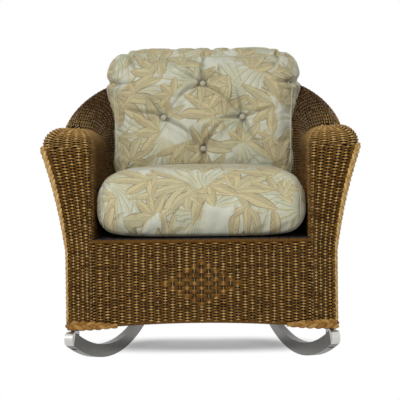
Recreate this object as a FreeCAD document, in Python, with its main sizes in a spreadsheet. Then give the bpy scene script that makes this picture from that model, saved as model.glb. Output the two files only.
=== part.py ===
import FreeCAD, Part
import Sketcher
import math
import os

from FreeCAD import Placement, Rotation, Vector

# A woven barrel lounge chair on bent metal rocker rails, with a loose seat cushion
# and a tufted back cushion. Millimetres, Z up, the sitter faces -Y. The origin is on
# the floor, midway between the chair's front and back.

os.makedirs("parts", exist_ok=True)
doc = FreeCAD.newDocument("rocking_chair")

# Driving dimensions. Set backs are measured towards the back from the chair's front.
# Runs are level distances back from a rail's front. Heights of the posts, frame, weave
# and tufts are measured up from the rails' tops at the front posts.

SIZES = {
    # Rocker rails: rectangular tube bent to one radius, closer together at the back
    "runner_radius": 1000.0,
    "runner_width": 24.0,
    "runner_height": 39.0,
    "runner_wall": 3.0,
    "runner_half_span": 374.8,
    "runner_contact_run": 427.0,
    "runner_nose_run": 2.0,
    "runner_tail_run": 850.0,
    "cap_tongue_length": 18.0,
    # Turned posts between the rails and the frame, and the bolts through them
    "post_top_radius": 15.0,
    "post_foot_radius": 12.0,
    "post_top_height": 12.0,
    "post_bore_radius": 4.5,
    "front_post_run": 39.8,
    "rear_post_run": 665.0,
    "bolt_radius": 4.0,
    "bolt_head_radius": 6.5,
    "bolt_head_length": 8.0,
    "bolt_grip_above_post": 30.0,
    "access_hole_radius": 8.5,
    # Welded frame of round tube inside the weave
    "tube_radius": 10.0,
    "tube_wall": 2.0,
    "insert_length": 34.0,
    "leg_half_span": 366.5,
    "seat_rail_height": 247.9,
    "stretcher_height": 51.5,
    "front_stretcher_height": 94.5,
    "arm_tube_height": 519.5,
    "arm_tube_start": 38.0,
    "hoop_set_in": 44.0,
    "hoop_drop": 40.0,
    "stile_spread": 196.0,
    # Slatted support under the seat deck
    "bar_width": 30.0,
    "bar_thickness": 6.0,
    "first_bar_set_back": 130.0,
    "bar_pitch": 115.0,
    "deck_thickness": 6.0,
    "deck_front_set_back": 37.0,
    # Woven skin
    "skin_thickness": 6.0,
    "seat_gap": 0.3,
    "barrel_set_back": 380.0,
    "inner_half_width": 310.0,
    "inner_rear_reach": 235.0,
    "shoulder_rear_reach": 385.0,
    "shoulder_height": 529.5,
    "shoulder_rear_height": 719.5,
    "crest_inner_half_width": 370.0,
    "crest_inner_rear_reach": 425.0,
    "crest_outer_half_width": 412.0,
    "crest_outer_rear_reach": 455.0,
    "crest_height": 591.5,
    "crest_inner_rear_height": 784.5,
    "crest_outer_rear_height": 809.5,
    "outer_half_width": 383.0,
    "outer_rear_reach": 385.0,
    "outer_knee_height": 239.5,
    "outer_hollow": 8.0,
    "arm_roll_radius": 100.0,
    # Raised upright stakes of the weave: every third one, the rest is finer than a solid shows
    "stake_width": 8.0,
    "stake_height": 2.6,
    "front_stake_spread": 24.3,
    # Plaited edges, named by the middle of the plait
    "rim_half_width": 449.0,
    "rim_rear_reach": 474.0,
    "rim_height": 531.5,
    "rim_rear_height": 784.5,
    "plait_radius": 8.0,
    "column_plait_foot_height": 49.5,
    "foot_plait_radius": 16.0,
    "foot_plait_tip_radius": 6.0,
    "foot_plait_height": 28.5,
    "foot_plait_outer_end": 378.0,
    "foot_plait_inner_end": 245.0,
    "base_plait_radius": 10.0,
    "base_plait_height": 25.5,
    # Woven panel below the seat, with an arched lower edge
    "apron_half_width": 316.0,
    "apron_foot_height": 29.5,
    "apron_arch_rise": 14.0,
    "apron_binding_radius": 6.0,
    # Loose cushions
    "seat_cushion_half_width": 306.0,
    "seat_cushion_front": 12.0,
    "seat_cushion_rear": 590.0,
    "seat_cushion_crown": 204.0,
    "seat_cushion_rest_height": 147.0,
    "back_cushion_height": 446.0,
    "back_cushion_half_width": 333.0,
    "back_cushion_depth": 215.0,
    "back_cushion_front": 465.0,
    "back_cushion_rake": 160.0,
    "cushion_clearance": 4.0,
    "cushion_tuck": 8.0,
    "cover_thickness": 8.0,
    "button_radius": 9.5,
    "button_thickness": 6.0,
    "tuft_depth": 24.0,
    "tuft_mouth_radius": 52.0,
    "tuft_spread": 130.0,
    "tuft_height": 631.5,
    "tuft_rise": 110.0,
    "rear_tuft_depth": 7.0,
    "rear_tuft_mouth_radius": 22.0,
    "rear_button_thickness": 4.0,
    "twine_radius": 1.2,
}
ANGLES = {"toe_in_angle": 12.0}

sheet = doc.addObject("Spreadsheet::Sheet", "sizes")
for row, (name, number) in enumerate({**SIZES, **ANGLES}.items(), start=1):
    sheet.set("A%d" % row, name)
    sheet.set("B%d" % row, str(number))
    sheet.setAlias("B%d" % row, name)
doc.recompute()


class Sizes:
    """The sheet's cells as plain numbers, under their aliases."""

    def __getattr__(self, name):
        return float(sheet.get(name))


size = Sizes()

post_reach = size.runner_contact_run - size.front_post_run
inside_reach = math.sqrt((size.runner_radius - size.runner_height) ** 2 - post_reach ** 2)
RAIL_TOP = size.runner_radius - inside_reach


class Above:
    """The sheet's heights over the rails' tops, as heights over the floor."""

    def __getattr__(self, name):
        return RAIL_TOP + float(sheet.get(name))


above = Above()

# Outline shares and exponents, chosen by hand

PLAN_POWER = 2.2
RISE_START_SHARE = -0.3
RISE_EASE_SHARE = 0.2
RISE_POWER = 0.85
STATIONS = 16
NUDGE = math.radians(2)
BACK_STAKES = 22
ARM_STAKES = 5
STAKE_TOP_SHARE = 0.94
ARM_BULGE_SHARE = 0.207
BACK_BULGE_SHARE = 0.10

UP = Vector(0, 0, 1)
ACROSS = Vector(1, 0, 0)
BACKWARD = Vector(0, 1, 0)
SIDES = (("left", -1), ("right", 1))

# Places worked out from the sizes

toe = math.radians(size.toe_in_angle)
nose_slope = (size.runner_contact_run - size.runner_nose_run) / size.runner_radius
nose_run = size.runner_contact_run - (size.runner_radius - size.runner_height / 2) * nose_slope
nose_run -= size.runner_height / 2 + size.seat_gap
nose_overhang = size.runner_width / 2 * math.sin(toe) - nose_run * math.cos(toe)
overall_depth = nose_overhang + size.barrel_set_back + size.rim_rear_reach + size.plait_radius
FRONT = nose_overhang - overall_depth / 2
BARREL = FRONT + size.barrel_set_back
panel_set_back = 2 * size.plait_radius + size.seat_gap
panel_back = panel_set_back + size.skin_thickness
deck_top = above.seat_rail_height + size.tube_radius + 2 * size.seat_gap
deck_top += size.bar_thickness + size.deck_thickness
apron_face = panel_back + size.seat_gap
front_leg_set_back = apron_face + size.skin_thickness + size.seat_gap + size.tube_radius
rail_drop = 2 * size.tube_radius + size.seat_gap
skin_foot = above.base_plait_height + size.base_plait_radius + size.seat_gap

subparts = []


def finish(thing, name):
    """Names a finished sub-part, which also names its file."""
    thing.Label = name
    subparts.append(thing)
    return thing


def solid(name, shape):
    """A sub-part or a tool whose shape is worked out here."""
    thing = doc.addObject("Part::Feature", name)
    thing.Shape = shape
    return thing


def cut(name, base, *tools):
    """The base less one or more tools, as document booleans."""
    for count, tool in enumerate(tools):
        last = count == len(tools) - 1
        result = doc.addObject("Part::Cut", name if last else "%s_step%d" % (name, count))
        result.Base = base
        result.Tool = tool
        base = result
    return base


def common(name, *shapes):
    """What all the shapes share."""
    result = doc.addObject("Part::MultiCommon", name)
    result.Shapes = list(shapes)
    return result


def fuse(name, *shapes):
    """One solid of several that meet."""
    result = doc.addObject("Part::MultiFuse", name)
    result.Shapes = list(shapes)
    return result


def cylinder(name, radius, length, place):
    """A cylinder along its placement's Z axis, with both sizes bound to the sheet."""
    rod = doc.addObject("Part::Cylinder", name)
    rod.setExpression("Radius", radius)
    rod.setExpression("Height", length)
    rod.Placement = place
    return rod


def block(name, length, width, height, corner):
    """A box from its lowest corner, with its sizes bound to the sheet."""
    box = doc.addObject("Part::Box", name)
    box.setExpression("Length", length)
    box.setExpression("Width", width)
    box.setExpression("Height", height)
    box.Placement.Base = corner
    return box


def aim(start, end):
    """The placement that turns Z from start towards end."""
    return Placement(start, Rotation(UP, end - start))


def tube(name, start, end):
    """A round frame tube between two points, open at both ends."""
    length = "%.9g mm" % (end - start).Length
    outside = cylinder(name + "_outside", "sizes.tube_radius", length, aim(start, end))
    inside = cylinder(name + "_inside", "sizes.tube_radius - sizes.tube_wall", length, aim(start, end))
    return finish(cut(name, outside, inside), name)


def path(*stops):
    """A wire through points. A pair is an arc: a point on its way and its end."""
    edges = []
    here = stops[0]
    for stop in stops[1:]:
        if isinstance(stop, tuple):
            through, there = stop
            edges.append(Part.Arc(here, through, there).toShape())
        else:
            there = stop
            edges.append(Part.LineSegment(here, there).toShape())
        here = there
    return Part.Wire(edges)


def ring(centre, direction, radius, upright):
    """A circle of three arcs, square to a direction, begun on its upright side."""
    beside = direction.cross(upright).normalize()
    above = beside.cross(direction).normalize()
    points = []
    for step in range(6):
        angle = step * math.pi / 3
        points.append(centre + (above * math.cos(angle) + beside * math.sin(angle)) * radius)
    return path(points[0], (points[1], points[2]), (points[3], points[4]), (points[5], points[0]))


def rope(points, radii, upright=UP):
    """A plait's envelope: a smooth tube through rings along its middle line."""
    rings = []
    for place, point in enumerate(points):
        before = points[max(place - 1, 0)]
        after = points[min(place + 1, len(points) - 1)]
        rings.append(ring(point, after - before, radii[place], upright))
    return Part.makeLoft(rings, True, False)


def barrel_rope(line, radius):
    """A smooth tube along a barrel line, run past both ends and cut square at the arms."""
    rings = []
    for place in range(2 * STATIONS + 1):
        angle = math.pi * place / (2 * STATIONS)
        centre = around(line_point(line, angle), angle)
        before = around(line_point(line, max(angle - NUDGE, 0)), max(angle - NUDGE, 0))
        after = around(line_point(line, min(angle + NUDGE, math.pi)), min(angle + NUDGE, math.pi))
        heading = (after - before).normalize()
        past = heading * (2 * radius)
        if place == 0:
            rings.append(ring(centre - past, heading, radius, UP))
        rings.append(ring(centre, heading, radius, UP))
    rings.append(ring(centre + past, heading, radius, UP))
    front = Part.makeBox(2 * overall_depth, overall_depth, 2 * overall_depth,
                         Vector(-overall_depth, BARREL - overall_depth, -overall_depth))
    return Part.makeLoft(rings, True, False).cut(front)


def mirrored(shape):
    """The same shape on the chair's other side."""
    return shape.mirror(Vector(0, 0, 0), ACROSS)


# The barrel: every line of the shell goes round one upright axis. Each has a radius at
# the arms and at the back, and rises from the arms to the back.


def oval(half_width, rear_reach, angle):
    """A rounded plan line's distance from the barrel's axis."""
    across = (abs(math.cos(angle)) / half_width) ** PLAN_POWER
    along = (math.sin(angle) / rear_reach) ** PLAN_POWER
    return (across + along) ** (-1 / PLAN_POWER)


station_angles = [math.pi * station / STATIONS for station in range(STATIONS + 1)]


def ramp(share):
    """A climb that starts softly and then keeps one slope."""
    past = share - RISE_START_SHARE
    return (past + math.hypot(past, RISE_EASE_SHARE)) / 2


def rise(angle):
    """How far the rim has climbed from the arms, 0, to the back, 1."""
    share = oval(size.rim_half_width, size.rim_rear_reach, angle) * math.sin(angle) / size.rim_rear_reach
    climbed = (ramp(share) - ramp(0)) / (ramp(1) - ramp(0))
    return max(0, climbed) ** RISE_POWER


def line_point(line, angle):
    """A shell line's distance from the axis and its height, as a flat point."""
    half_width, rear_reach, low, high = line
    return Vector(oval(half_width, rear_reach, angle), low + (high - low) * rise(angle), 0)


def around(flat, angle):
    """A flat point of distance and height, set at an angle round the axis."""
    return Vector(flat.x * math.cos(angle), BARREL + flat.x * math.sin(angle), flat.y)


deck_line = (size.inner_half_width, size.inner_rear_reach, deck_top + size.seat_gap, deck_top + size.seat_gap)
shoulder_line = (size.inner_half_width, size.shoulder_rear_reach, above.shoulder_height,
                 above.shoulder_rear_height)
crest_inner_line = (size.crest_inner_half_width, size.crest_inner_rear_reach, above.crest_height,
                    above.crest_inner_rear_height)
crest_outer_line = (size.crest_outer_half_width, size.crest_outer_rear_reach, above.crest_height,
                    above.crest_outer_rear_height)
rim_line = (size.rim_half_width, size.rim_rear_reach, above.rim_height, above.rim_rear_height)
knee_line = (size.outer_half_width, size.outer_rear_reach, above.outer_knee_height, above.outer_knee_height)
foot_line = (size.outer_half_width, size.outer_rear_reach, skin_foot, skin_foot)
hoop_reach = size.rim_rear_reach - size.hoop_set_in
hoop_line = (size.leg_half_span, hoop_reach, above.arm_tube_height, above.rim_rear_height - size.hoop_drop)


def bulged(start, end, share):
    """The middle of an arc that rises from its chord by a share of its length."""
    chord = end - start
    return (start + end) / 2 + Vector(-chord.y, chord.x, 0) * share


def offset_points(points, thickness):
    """A flat line of points moved to its right by a thickness, with mitred corners."""
    moved = []
    for place, point in enumerate(points):
        before = points[max(place - 1, 0)]
        after = points[min(place + 1, len(points) - 1)]
        first = (point - before if place else after - point).normalize()
        second = (after - point if place < len(points) - 1 else point - before).normalize()
        middle = Vector(first.y + second.y, -first.x - second.x, 0).normalize()
        moved.append(point + middle * (thickness / (middle.x * first.y - middle.y * first.x)))
    return moved


def bulge_at(angle):
    """How round the roll's two arcs are, from the arms to the back."""
    return ARM_BULGE_SHARE + (BACK_BULGE_SHARE - ARM_BULGE_SHARE) * rise(angle)


def rim_clear(angle):
    """How far a skin's edge stands above or below the rim plait's middle, by its slope."""
    low, high = max(angle - NUDGE, 0), min(angle + NUDGE, math.pi)
    step = around(line_point(rim_line, high), high) - around(line_point(rim_line, low), low)
    level = math.hypot(step.x, step.y)
    return (size.plait_radius + 3 * size.seat_gap) * step.Length / level


def inner_points(angle):
    """The inner skin's line: deck, shoulder, both sides of the crest, and the rim."""
    rim = line_point(rim_line, angle)
    lip = rim + Vector(size.skin_thickness / 2, rim_clear(angle), 0)
    lines = (deck_line, shoulder_line, crest_inner_line, crest_outer_line)
    return [line_point(line, angle) for line in lines] + [lip]


def inner_section(angle):
    """A closed section of the inner skin, from the deck up and over to the rim."""
    face = inner_points(angle)
    rear = offset_points(face, size.skin_thickness)
    rear[0].y = face[0].y
    rear[4] = face[4] - Vector(size.skin_thickness, 0, 0)
    share = bulge_at(angle)
    stops = [face[0], face[1], (bulged(face[1], face[2], share), face[2]), face[3],
             (bulged(face[3], face[4], share), face[4]), rear[4],
             (bulged(rear[3], rear[4], share), rear[3]), rear[2],
             (bulged(rear[1], rear[2], share), rear[1]), rear[0], face[0]]
    return path(*[tuple(around(point, angle) for point in stop) if isinstance(stop, tuple)
                  else around(stop, angle) for stop in stops])


def outer_points(angle):
    """The outer skin's line: foot, knee, and just under the rim's plait."""
    rim = line_point(rim_line, angle)
    top = rim + Vector(size.skin_thickness / 2, -rim_clear(angle), 0)
    return [line_point(foot_line, angle), line_point(knee_line, angle), top]


def outer_section(angle):
    """A closed section of the outer skin, from the foot up to the rim."""
    face = outer_points(angle)
    share = size.outer_hollow / (face[2] - face[1]).Length
    rear = [point - Vector(size.skin_thickness, 0, 0) for point in face]
    stops = [face[0], face[1], (bulged(face[1], face[2], share), face[2]), rear[2],
             (bulged(rear[1], rear[2], share), rear[1]), rear[0], face[0]]
    return path(*[tuple(around(point, angle) for point in stop) if isinstance(stop, tuple)
                  else around(stop, angle) for stop in stops])


# Rocker rails


def origin_plane(body, role):
    """One of a body's own origin planes."""
    return [plane for plane in body.Origin.OriginFeatures if plane.Role == role][0]


def rectangle(sketch, width, height, lift, label):
    """A rectangle centred on the sketch's upright axis, with its sizes bound."""
    corners = [Vector(-1, -1, 0), Vector(1, -1, 0), Vector(1, 1, 0), Vector(-1, 1, 0)]
    first = sketch.GeometryCount
    for place in range(4):
        near, far = corners[place] * size.runner_wall, corners[(place + 1) % 4] * size.runner_wall
        sketch.addGeometry(Part.LineSegment(near, far), False)
    for place in range(4):
        sketch.addConstraint(Sketcher.Constraint("Coincident", first + place, 2, first + (place + 1) % 4, 1))
    for place in (1, 3):
        sketch.addConstraint(Sketcher.Constraint("Vertical", first + place))
    sketch.addConstraint(Sketcher.Constraint("Horizontal", first + 2))
    sketch.addConstraint(Sketcher.Constraint("Symmetric", first, 1, first, 2, -2))
    bound = (("width", ("DistanceX", first, 1, first, 2), width),
             ("height", ("DistanceY", first + 1, 1, first + 1, 2), height),
             ("lift", ("DistanceY", first, 1, -1, 1), lift))
    for word, parts, expression in bound:
        sketch.addConstraint(Sketcher.Constraint(*parts, 1))
        sketch.renameConstraint(sketch.ConstraintCount - 1, label + word)
        sketch.setExpression("Constraints." + label + word, expression)


def runner_point(run, lift):
    """A place above the right rail's underside line, a run behind the rail's front."""
    return Vector(size.runner_half_span - run * math.sin(toe), FRONT + run * math.cos(toe), lift)


def underside(run):
    """The height of the rail's underside at a run."""
    reach = size.runner_contact_run - run
    return size.runner_radius - math.sqrt(size.runner_radius ** 2 - reach ** 2)


def runner_frame(side):
    """The placement of the rail's bending centre, with its lowest point below it."""
    centre = runner_point(size.runner_contact_run, size.runner_radius)
    return Placement(Vector(side * centre.x, centre.y, centre.z), Rotation(UP, side * size.toe_in_angle))


def runner(side_name, side):
    """A hollow rectangular rail revolved about its bending centre, drilled for the bolts."""
    name = "runner_" + side_name
    body = doc.addObject("PartDesign::Body", name + "_tube")
    sketch = body.newObject("Sketcher::SketchObject", name + "_section")
    sketch.AttachmentSupport = [(origin_plane(body, "XZ_Plane"), "")]
    sketch.MapMode = "FlatFace"
    rectangle(sketch, "sizes.runner_width", "sizes.runner_height", "sizes.runner_radius", "outside_")
    rectangle(sketch, "sizes.runner_width - 2 * sizes.runner_wall",
              "sizes.runner_height - 2 * sizes.runner_wall",
              "sizes.runner_radius - sizes.runner_wall", "inside_")
    doc.recompute()
    bend = body.newObject("PartDesign::Revolution", name + "_bend")
    bend.Profile = sketch
    bend.ReferenceAxis = (sketch, ["H_Axis"])
    bend.Midplane = True
    bend.setExpression("Angle", "asin((sizes.runner_contact_run - sizes.runner_nose_run) / sizes.runner_radius)"
                       " + asin((sizes.runner_tail_run - sizes.runner_contact_run) / sizes.runner_radius)")
    nose_angle = math.degrees(math.asin((size.runner_contact_run - size.runner_nose_run) / size.runner_radius))
    tail_angle = math.degrees(math.asin((size.runner_tail_run - size.runner_contact_run) / size.runner_radius))
    lean = Placement(Vector(0, 0, 0), Rotation(ACROSS, (tail_angle - nose_angle) / 2))
    body.Placement = runner_frame(side).multiply(lean)
    doc.recompute()
    drills = []
    for word, run in (("front", size.front_post_run), ("rear", size.rear_post_run)):
        foot = runner_point(run, 0)
        foot.x *= side
        middle = foot + UP * (underside(run) + size.runner_height / 2)
        drills.append(cylinder(name + "_" + word + "_bolt_hole", "sizes.post_bore_radius",
                               "sizes.runner_height", Placement(middle, Rotation())))
        drills.append(cylinder(name + "_" + word + "_access_hole", "sizes.access_hole_radius",
                               "sizes.runner_height", Placement(middle - UP * size.runner_height, Rotation())))
    return finish(cut(name, body, *drills), name)


def end_cap(name, side, run, outward):
    """A half round plug for a rail's end, with a tongue inside the tube."""
    reach = size.runner_contact_run - run
    lean = math.degrees(math.asin(reach / size.runner_radius))
    frame = runner_frame(side).multiply(Placement(Vector(0, 0, 0), Rotation(ACROSS, -lean)))
    gap = size.seat_gap * outward
    middle = size.runner_height / 2 - size.runner_radius
    turned = Placement(Vector(-size.runner_width / 2, gap, middle), Rotation(UP, ACROSS))
    nose = cylinder(name + "_round", "sizes.runner_height / 2", "sizes.runner_width", frame.multiply(turned))
    half = block(name + "_half", "sizes.runner_width", "sizes.runner_height / 2", "sizes.runner_height",
                 Vector(0, 0, 0))
    near = gap if outward > 0 else gap - size.runner_height / 2
    half.Placement = frame.multiply(Placement(Vector(-size.runner_width / 2, near, -size.runner_radius),
                                              Rotation()))
    inset = size.runner_wall + size.seat_gap
    tongue = block(name + "_tongue", "sizes.runner_width - 2 * (sizes.runner_wall + sizes.seat_gap)",
                   "sizes.cap_tongue_length",
                   "sizes.runner_height - 2 * (sizes.runner_wall + 2 * sizes.seat_gap)",
                   Vector(0, 0, 0))
    far = gap - size.cap_tongue_length if outward > 0 else gap
    corner = Vector(inset - size.runner_width / 2, far, inset + size.seat_gap - size.runner_radius)
    tongue.Placement = frame.multiply(Placement(corner, Rotation()))
    return finish(fuse(name, common(name + "_head", nose, half), tongue), name)


def post(name, side, run):
    """A turned post from the rail's top up to a leg, hollow for its bolt."""
    middle = runner_point(run, 0)
    middle.x *= side
    cone = doc.addObject("Part::Cone", name + "_turned")
    cone.setExpression("Radius1", "sizes.post_foot_radius")
    cone.setExpression("Radius2", "sizes.post_top_radius")
    cone.setExpression("Height", "%.9g mm" % above.post_top_height)
    cone.Placement.Base = middle
    bed = cylinder(name + "_bed", "sizes.runner_radius - sizes.runner_height - sizes.seat_gap",
                   "sizes.runner_half_span", Placement())
    turned = Placement(Vector(-size.runner_half_span / 2, 0, 0), Rotation(UP, ACROSS))
    bed.Placement = runner_frame(side).multiply(turned)
    bore = cylinder(name + "_bore", "sizes.post_bore_radius", "%.9g mm" % above.post_top_height,
                    Placement(middle, Rotation()))
    return finish(cut(name, common(name + "_blank", cone, bed), bore), name)


def bolt(name, side, run):
    """A bolt up from inside the rail, through a post and into a leg."""
    middle = runner_point(run, 0)
    middle.x *= side
    slope = (size.runner_contact_run - run) / size.runner_radius
    ceiling = underside(run) + (size.runner_height - size.runner_wall) / math.sqrt(1 - slope ** 2)
    seat = ceiling - abs(slope) * size.bolt_head_radius - 2 * size.seat_gap
    head = cylinder(name + "_head", "sizes.bolt_head_radius", "sizes.bolt_head_length",
                    Placement(middle + UP * (seat - size.bolt_head_length), Rotation()))
    length = above.post_top_height + size.bolt_grip_above_post - seat
    shank = cylinder(name + "_shank", "sizes.bolt_radius", "%.9g mm" % length,
                     Placement(middle + UP * seat, Rotation()))
    return fuse(name, head, shank)


for side_name, side in SIDES:
    runner(side_name, side)
    end_cap("runner_nose_cap_" + side_name, side, size.runner_nose_run, -1)
    end_cap("runner_tail_cap_" + side_name, side, size.runner_tail_run, 1)
    post("front_post_" + side_name, side, size.front_post_run)
    post("rear_post_" + side_name, side, size.rear_post_run)

bolts = [bolt("runner_bolt_%s_%s" % (word, side_name), side, run)
         for side_name, side in SIDES
         for word, run in (("front", size.front_post_run), ("rear", size.rear_post_run))]
bolt_set = doc.addObject("Part::Compound", "runner_bolts")
bolt_set.Links = bolts
finish(bolt_set, "runner_bolts")

# Tube frame

rear_leg = runner_point(size.rear_post_run, 0)
leg_foot = above.post_top_height + size.seat_gap
rail_reach = size.tube_radius + size.seat_gap


def leg(name, middle, top):
    """An upright tube with a threaded insert for the post's bolt in its foot."""
    start = Vector(middle.x, middle.y, leg_foot)
    length = "%.9g mm" % (top - leg_foot)
    outside = cylinder(name + "_outside", "sizes.tube_radius", length, Placement(start, Rotation()))
    inside = cylinder(name + "_inside", "sizes.tube_radius - sizes.tube_wall", length,
                      Placement(start + UP * size.insert_length, Rotation()))
    return finish(cut(name, outside, inside), name)


def between(name, start, end):
    """A tube between two legs, stopping at their walls."""
    reach = (end - start).normalize() * rail_reach
    return tube(name, start + reach, end - reach)


def hoop_point(angle):
    """A place on the middle line of the tube that carries the back's rim."""
    return around(line_point(hoop_line, angle), angle)


for side_name, side in SIDES:
    front = Vector(side * size.leg_half_span, FRONT + front_leg_set_back, 0)
    rear = Vector(side * rear_leg.x, rear_leg.y, 0)
    front_foot = runner_point(size.front_post_run, 0)
    front_bore = cylinder("front_leg_bore_" + side_name, "sizes.bolt_radius + sizes.seat_gap",
                          "sizes.bolt_grip_above_post + sizes.seat_gap",
                          Placement(Vector(side * front_foot.x, front_foot.y, leg_foot), Rotation()))
    rear_bore = cylinder("rear_leg_bore_" + side_name, "sizes.bolt_radius + sizes.seat_gap",
                         "sizes.bolt_grip_above_post + sizes.seat_gap",
                         Placement(Vector(rear.x, rear.y, leg_foot), Rotation()))
    leg_top = above.arm_tube_height - rail_reach
    front_tube = leg("front_leg_%s_blank" % side_name, front, leg_top)
    subparts.remove(front_tube)
    finish(cut("front_leg_" + side_name, front_tube, front_bore), "front_leg_" + side_name)
    rear_tube = leg("rear_leg_%s_blank" % side_name, rear, above.seat_rail_height + size.tube_radius)
    subparts.remove(rear_tube)
    finish(cut("rear_leg_" + side_name, rear_tube, rear_bore), "rear_leg_" + side_name)
    for word, level in (("side_seat_rail_", above.seat_rail_height), ("side_stretcher_", above.stretcher_height)):
        between(word + side_name, front + UP * level, rear + UP * level)
    tube("arm_tube_" + side_name,
         Vector(side * size.leg_half_span, FRONT + size.arm_tube_start, above.arm_tube_height),
         Vector(side * size.leg_half_span, BARREL - size.seat_gap, above.arm_tube_height))

left_front = Vector(-size.leg_half_span, FRONT + front_leg_set_back, 0)
right_front = Vector(size.leg_half_span, FRONT + front_leg_set_back, 0)
left_rear = Vector(-rear_leg.x, rear_leg.y, 0)
right_rear = Vector(rear_leg.x, rear_leg.y, 0)
cross_rail_height = above.seat_rail_height - rail_drop
rear_stretcher_height = above.stretcher_height + rail_drop
between("front_seat_rail", left_front + UP * cross_rail_height, right_front + UP * cross_rail_height)
between("front_stretcher", left_front + UP * above.front_stretcher_height,
        right_front + UP * above.front_stretcher_height)
between("rear_seat_rail", left_rear + UP * cross_rail_height, right_rear + UP * cross_rail_height)
between("rear_stretcher", left_rear + UP * rear_stretcher_height, right_rear + UP * rear_stretcher_height)

hoop = barrel_rope(hoop_line, size.tube_radius).cut(barrel_rope(hoop_line, size.tube_radius - size.tube_wall))
finish(solid("back_hoop", hoop), "back_hoop")


def stile(side_name, side):
    """A raked tube from a rear leg up to the hoop."""
    start = Vector(side * rear_leg.x, rear_leg.y, above.seat_rail_height + size.tube_radius + size.seat_gap)
    angle = math.acos(size.stile_spread / hoop_reach)
    top = hoop_point(angle)
    top.x *= side
    lean = (top - start).normalize()
    along = (hoop_point(angle + NUDGE) - hoop_point(angle - NUDGE)).normalize()
    along.x *= side
    skew = lean.getAngle(along)
    reach = (rail_reach + size.tube_radius * abs(math.cos(skew))) / math.sin(skew)
    return tube("back_stile_" + side_name, start + lean * size.tube_radius * math.sin(lean.getAngle(UP)),
                top - lean * reach)


for side_name, side in SIDES:
    stile(side_name, side)

# Seat deck: flat bars over the side rails carry a woven panel


def bar_half_length(set_back):
    """Half the distance over the side rails at a set back."""
    share = (set_back - front_leg_set_back) / (rear_leg.y - FRONT - front_leg_set_back)
    return size.leg_half_span + (rear_leg.x - size.leg_half_span) * share


for number in range(4):
    set_back = size.first_bar_set_back + number * size.bar_pitch
    half = bar_half_length(set_back)
    name = "deck_bar_%d" % (number + 1)
    finish(block(name, "%.9g mm" % (2 * half), "sizes.bar_width", "sizes.bar_thickness",
                 Vector(-half, FRONT + set_back - size.bar_width / 2,
                        above.seat_rail_height + size.tube_radius + size.seat_gap)), name)


def deck_outline(level):
    """The deck's plan: straight sides and a rounded back, under the inner skin."""
    half_width = size.inner_half_width + size.skin_thickness
    rear_reach = size.inner_rear_reach + size.skin_thickness

    def spot(angle):
        return around(Vector(oval(half_width, rear_reach, angle), level, 0), angle)

    stops = [Vector(half_width, FRONT + size.deck_front_set_back, level), spot(0)]
    for place in range(2, STATIONS + 1, 2):
        stops.append((spot(station_angles[place - 1]), spot(station_angles[place])))
    stops += [Vector(-half_width, FRONT + size.deck_front_set_back, level),
              Vector(half_width, FRONT + size.deck_front_set_back, level)]
    return path(*stops)


deck_plan = Part.Face(deck_outline(deck_top - size.deck_thickness))
finish(solid("seat_deck", deck_plan.extrude(UP * size.deck_thickness)), "seat_deck")

# Arms: a side profile and a front profile shared, less the same profiles drawn in


def arm_outline(inset, foot):
    """The arm's outline from the front: inner wall, rolled top, hollow outer wall."""
    face = inner_points(0)
    outer = outer_points(0)
    share = bulge_at(0)
    hollow = size.outer_hollow / (outer[2] - outer[1]).Length
    top = offset_points(face, inset) if inset else face
    wall = [point - Vector(inset, 0, 0) for point in outer]
    lip = (bulged(top[3], top[4], share), top[4])
    stops = [Vector(top[1].x, foot, 0), top[1], (bulged(top[1], top[2], share), top[2]), top[3], lip,
             Vector(wall[2].x, wall[2].y, 0), (bulged(wall[1], wall[2], hollow), wall[1]),
             Vector(wall[0].x, foot, 0), Vector(top[1].x, foot, 0)]

    def stand(point):
        return Vector(point.x, FRONT, point.y)

    return path(*[tuple(stand(point) for point in stop) if isinstance(stop, tuple) else stand(stop)
                  for stop in stops])


def roll_outline(inset, foot, rear):
    """The arm's outline from the side: upright front, rolled over to a level top."""
    front = FRONT + panel_set_back
    radius = size.arm_roll_radius
    middle = Vector(0, front + radius, above.crest_height - radius)
    reach = radius - inset
    across = math.sqrt(0.5) * reach
    return path(Vector(0, front + inset, foot), Vector(0, front + inset, middle.z),
                (Vector(0, middle.y - across, middle.z + across), Vector(0, middle.y, middle.z + reach)),
                Vector(0, rear, middle.z + reach), Vector(0, rear, foot), Vector(0, front + inset, foot))


arm_foot = above.foot_plait_height + size.foot_plait_radius + size.seat_gap
arm_rear = BARREL - size.seat_gap
beyond = size.skin_thickness


def arm_block(inset, foot, rear):
    """The arm's whole body within a skin of one inset."""
    front_view = Part.Face(arm_outline(inset, foot)).extrude(Vector(0, rear - FRONT, 0))
    side_view = Part.Face(roll_outline(inset, foot, rear)).extrude(ACROSS * overall_depth)
    return front_view.common(side_view)


arm_shell = arm_block(0, arm_foot, arm_rear)
arm_shell = arm_shell.cut(arm_block(size.skin_thickness, arm_foot - beyond, arm_rear + beyond))
rim = line_point(rim_line, 0)
behind_panel = FRONT + panel_back
wall_start = behind_panel + 2 * size.skin_thickness
plait_reach = size.plait_radius + size.seat_gap
wall_room = Part.makeBox(overall_depth, overall_depth, rim.y - plait_reach,
                         Vector(size.crest_inner_half_width, wall_start, 0))
groove = Part.makeBox(overall_depth, overall_depth, 2 * plait_reach,
                      Vector(rim.x - plait_reach, behind_panel, rim.y - plait_reach))
below_deck = Part.makeBox(size.skin_thickness + 2 * beyond, overall_depth, deck_top + size.seat_gap,
                          Vector(size.inner_half_width - beyond, behind_panel, 0))


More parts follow.
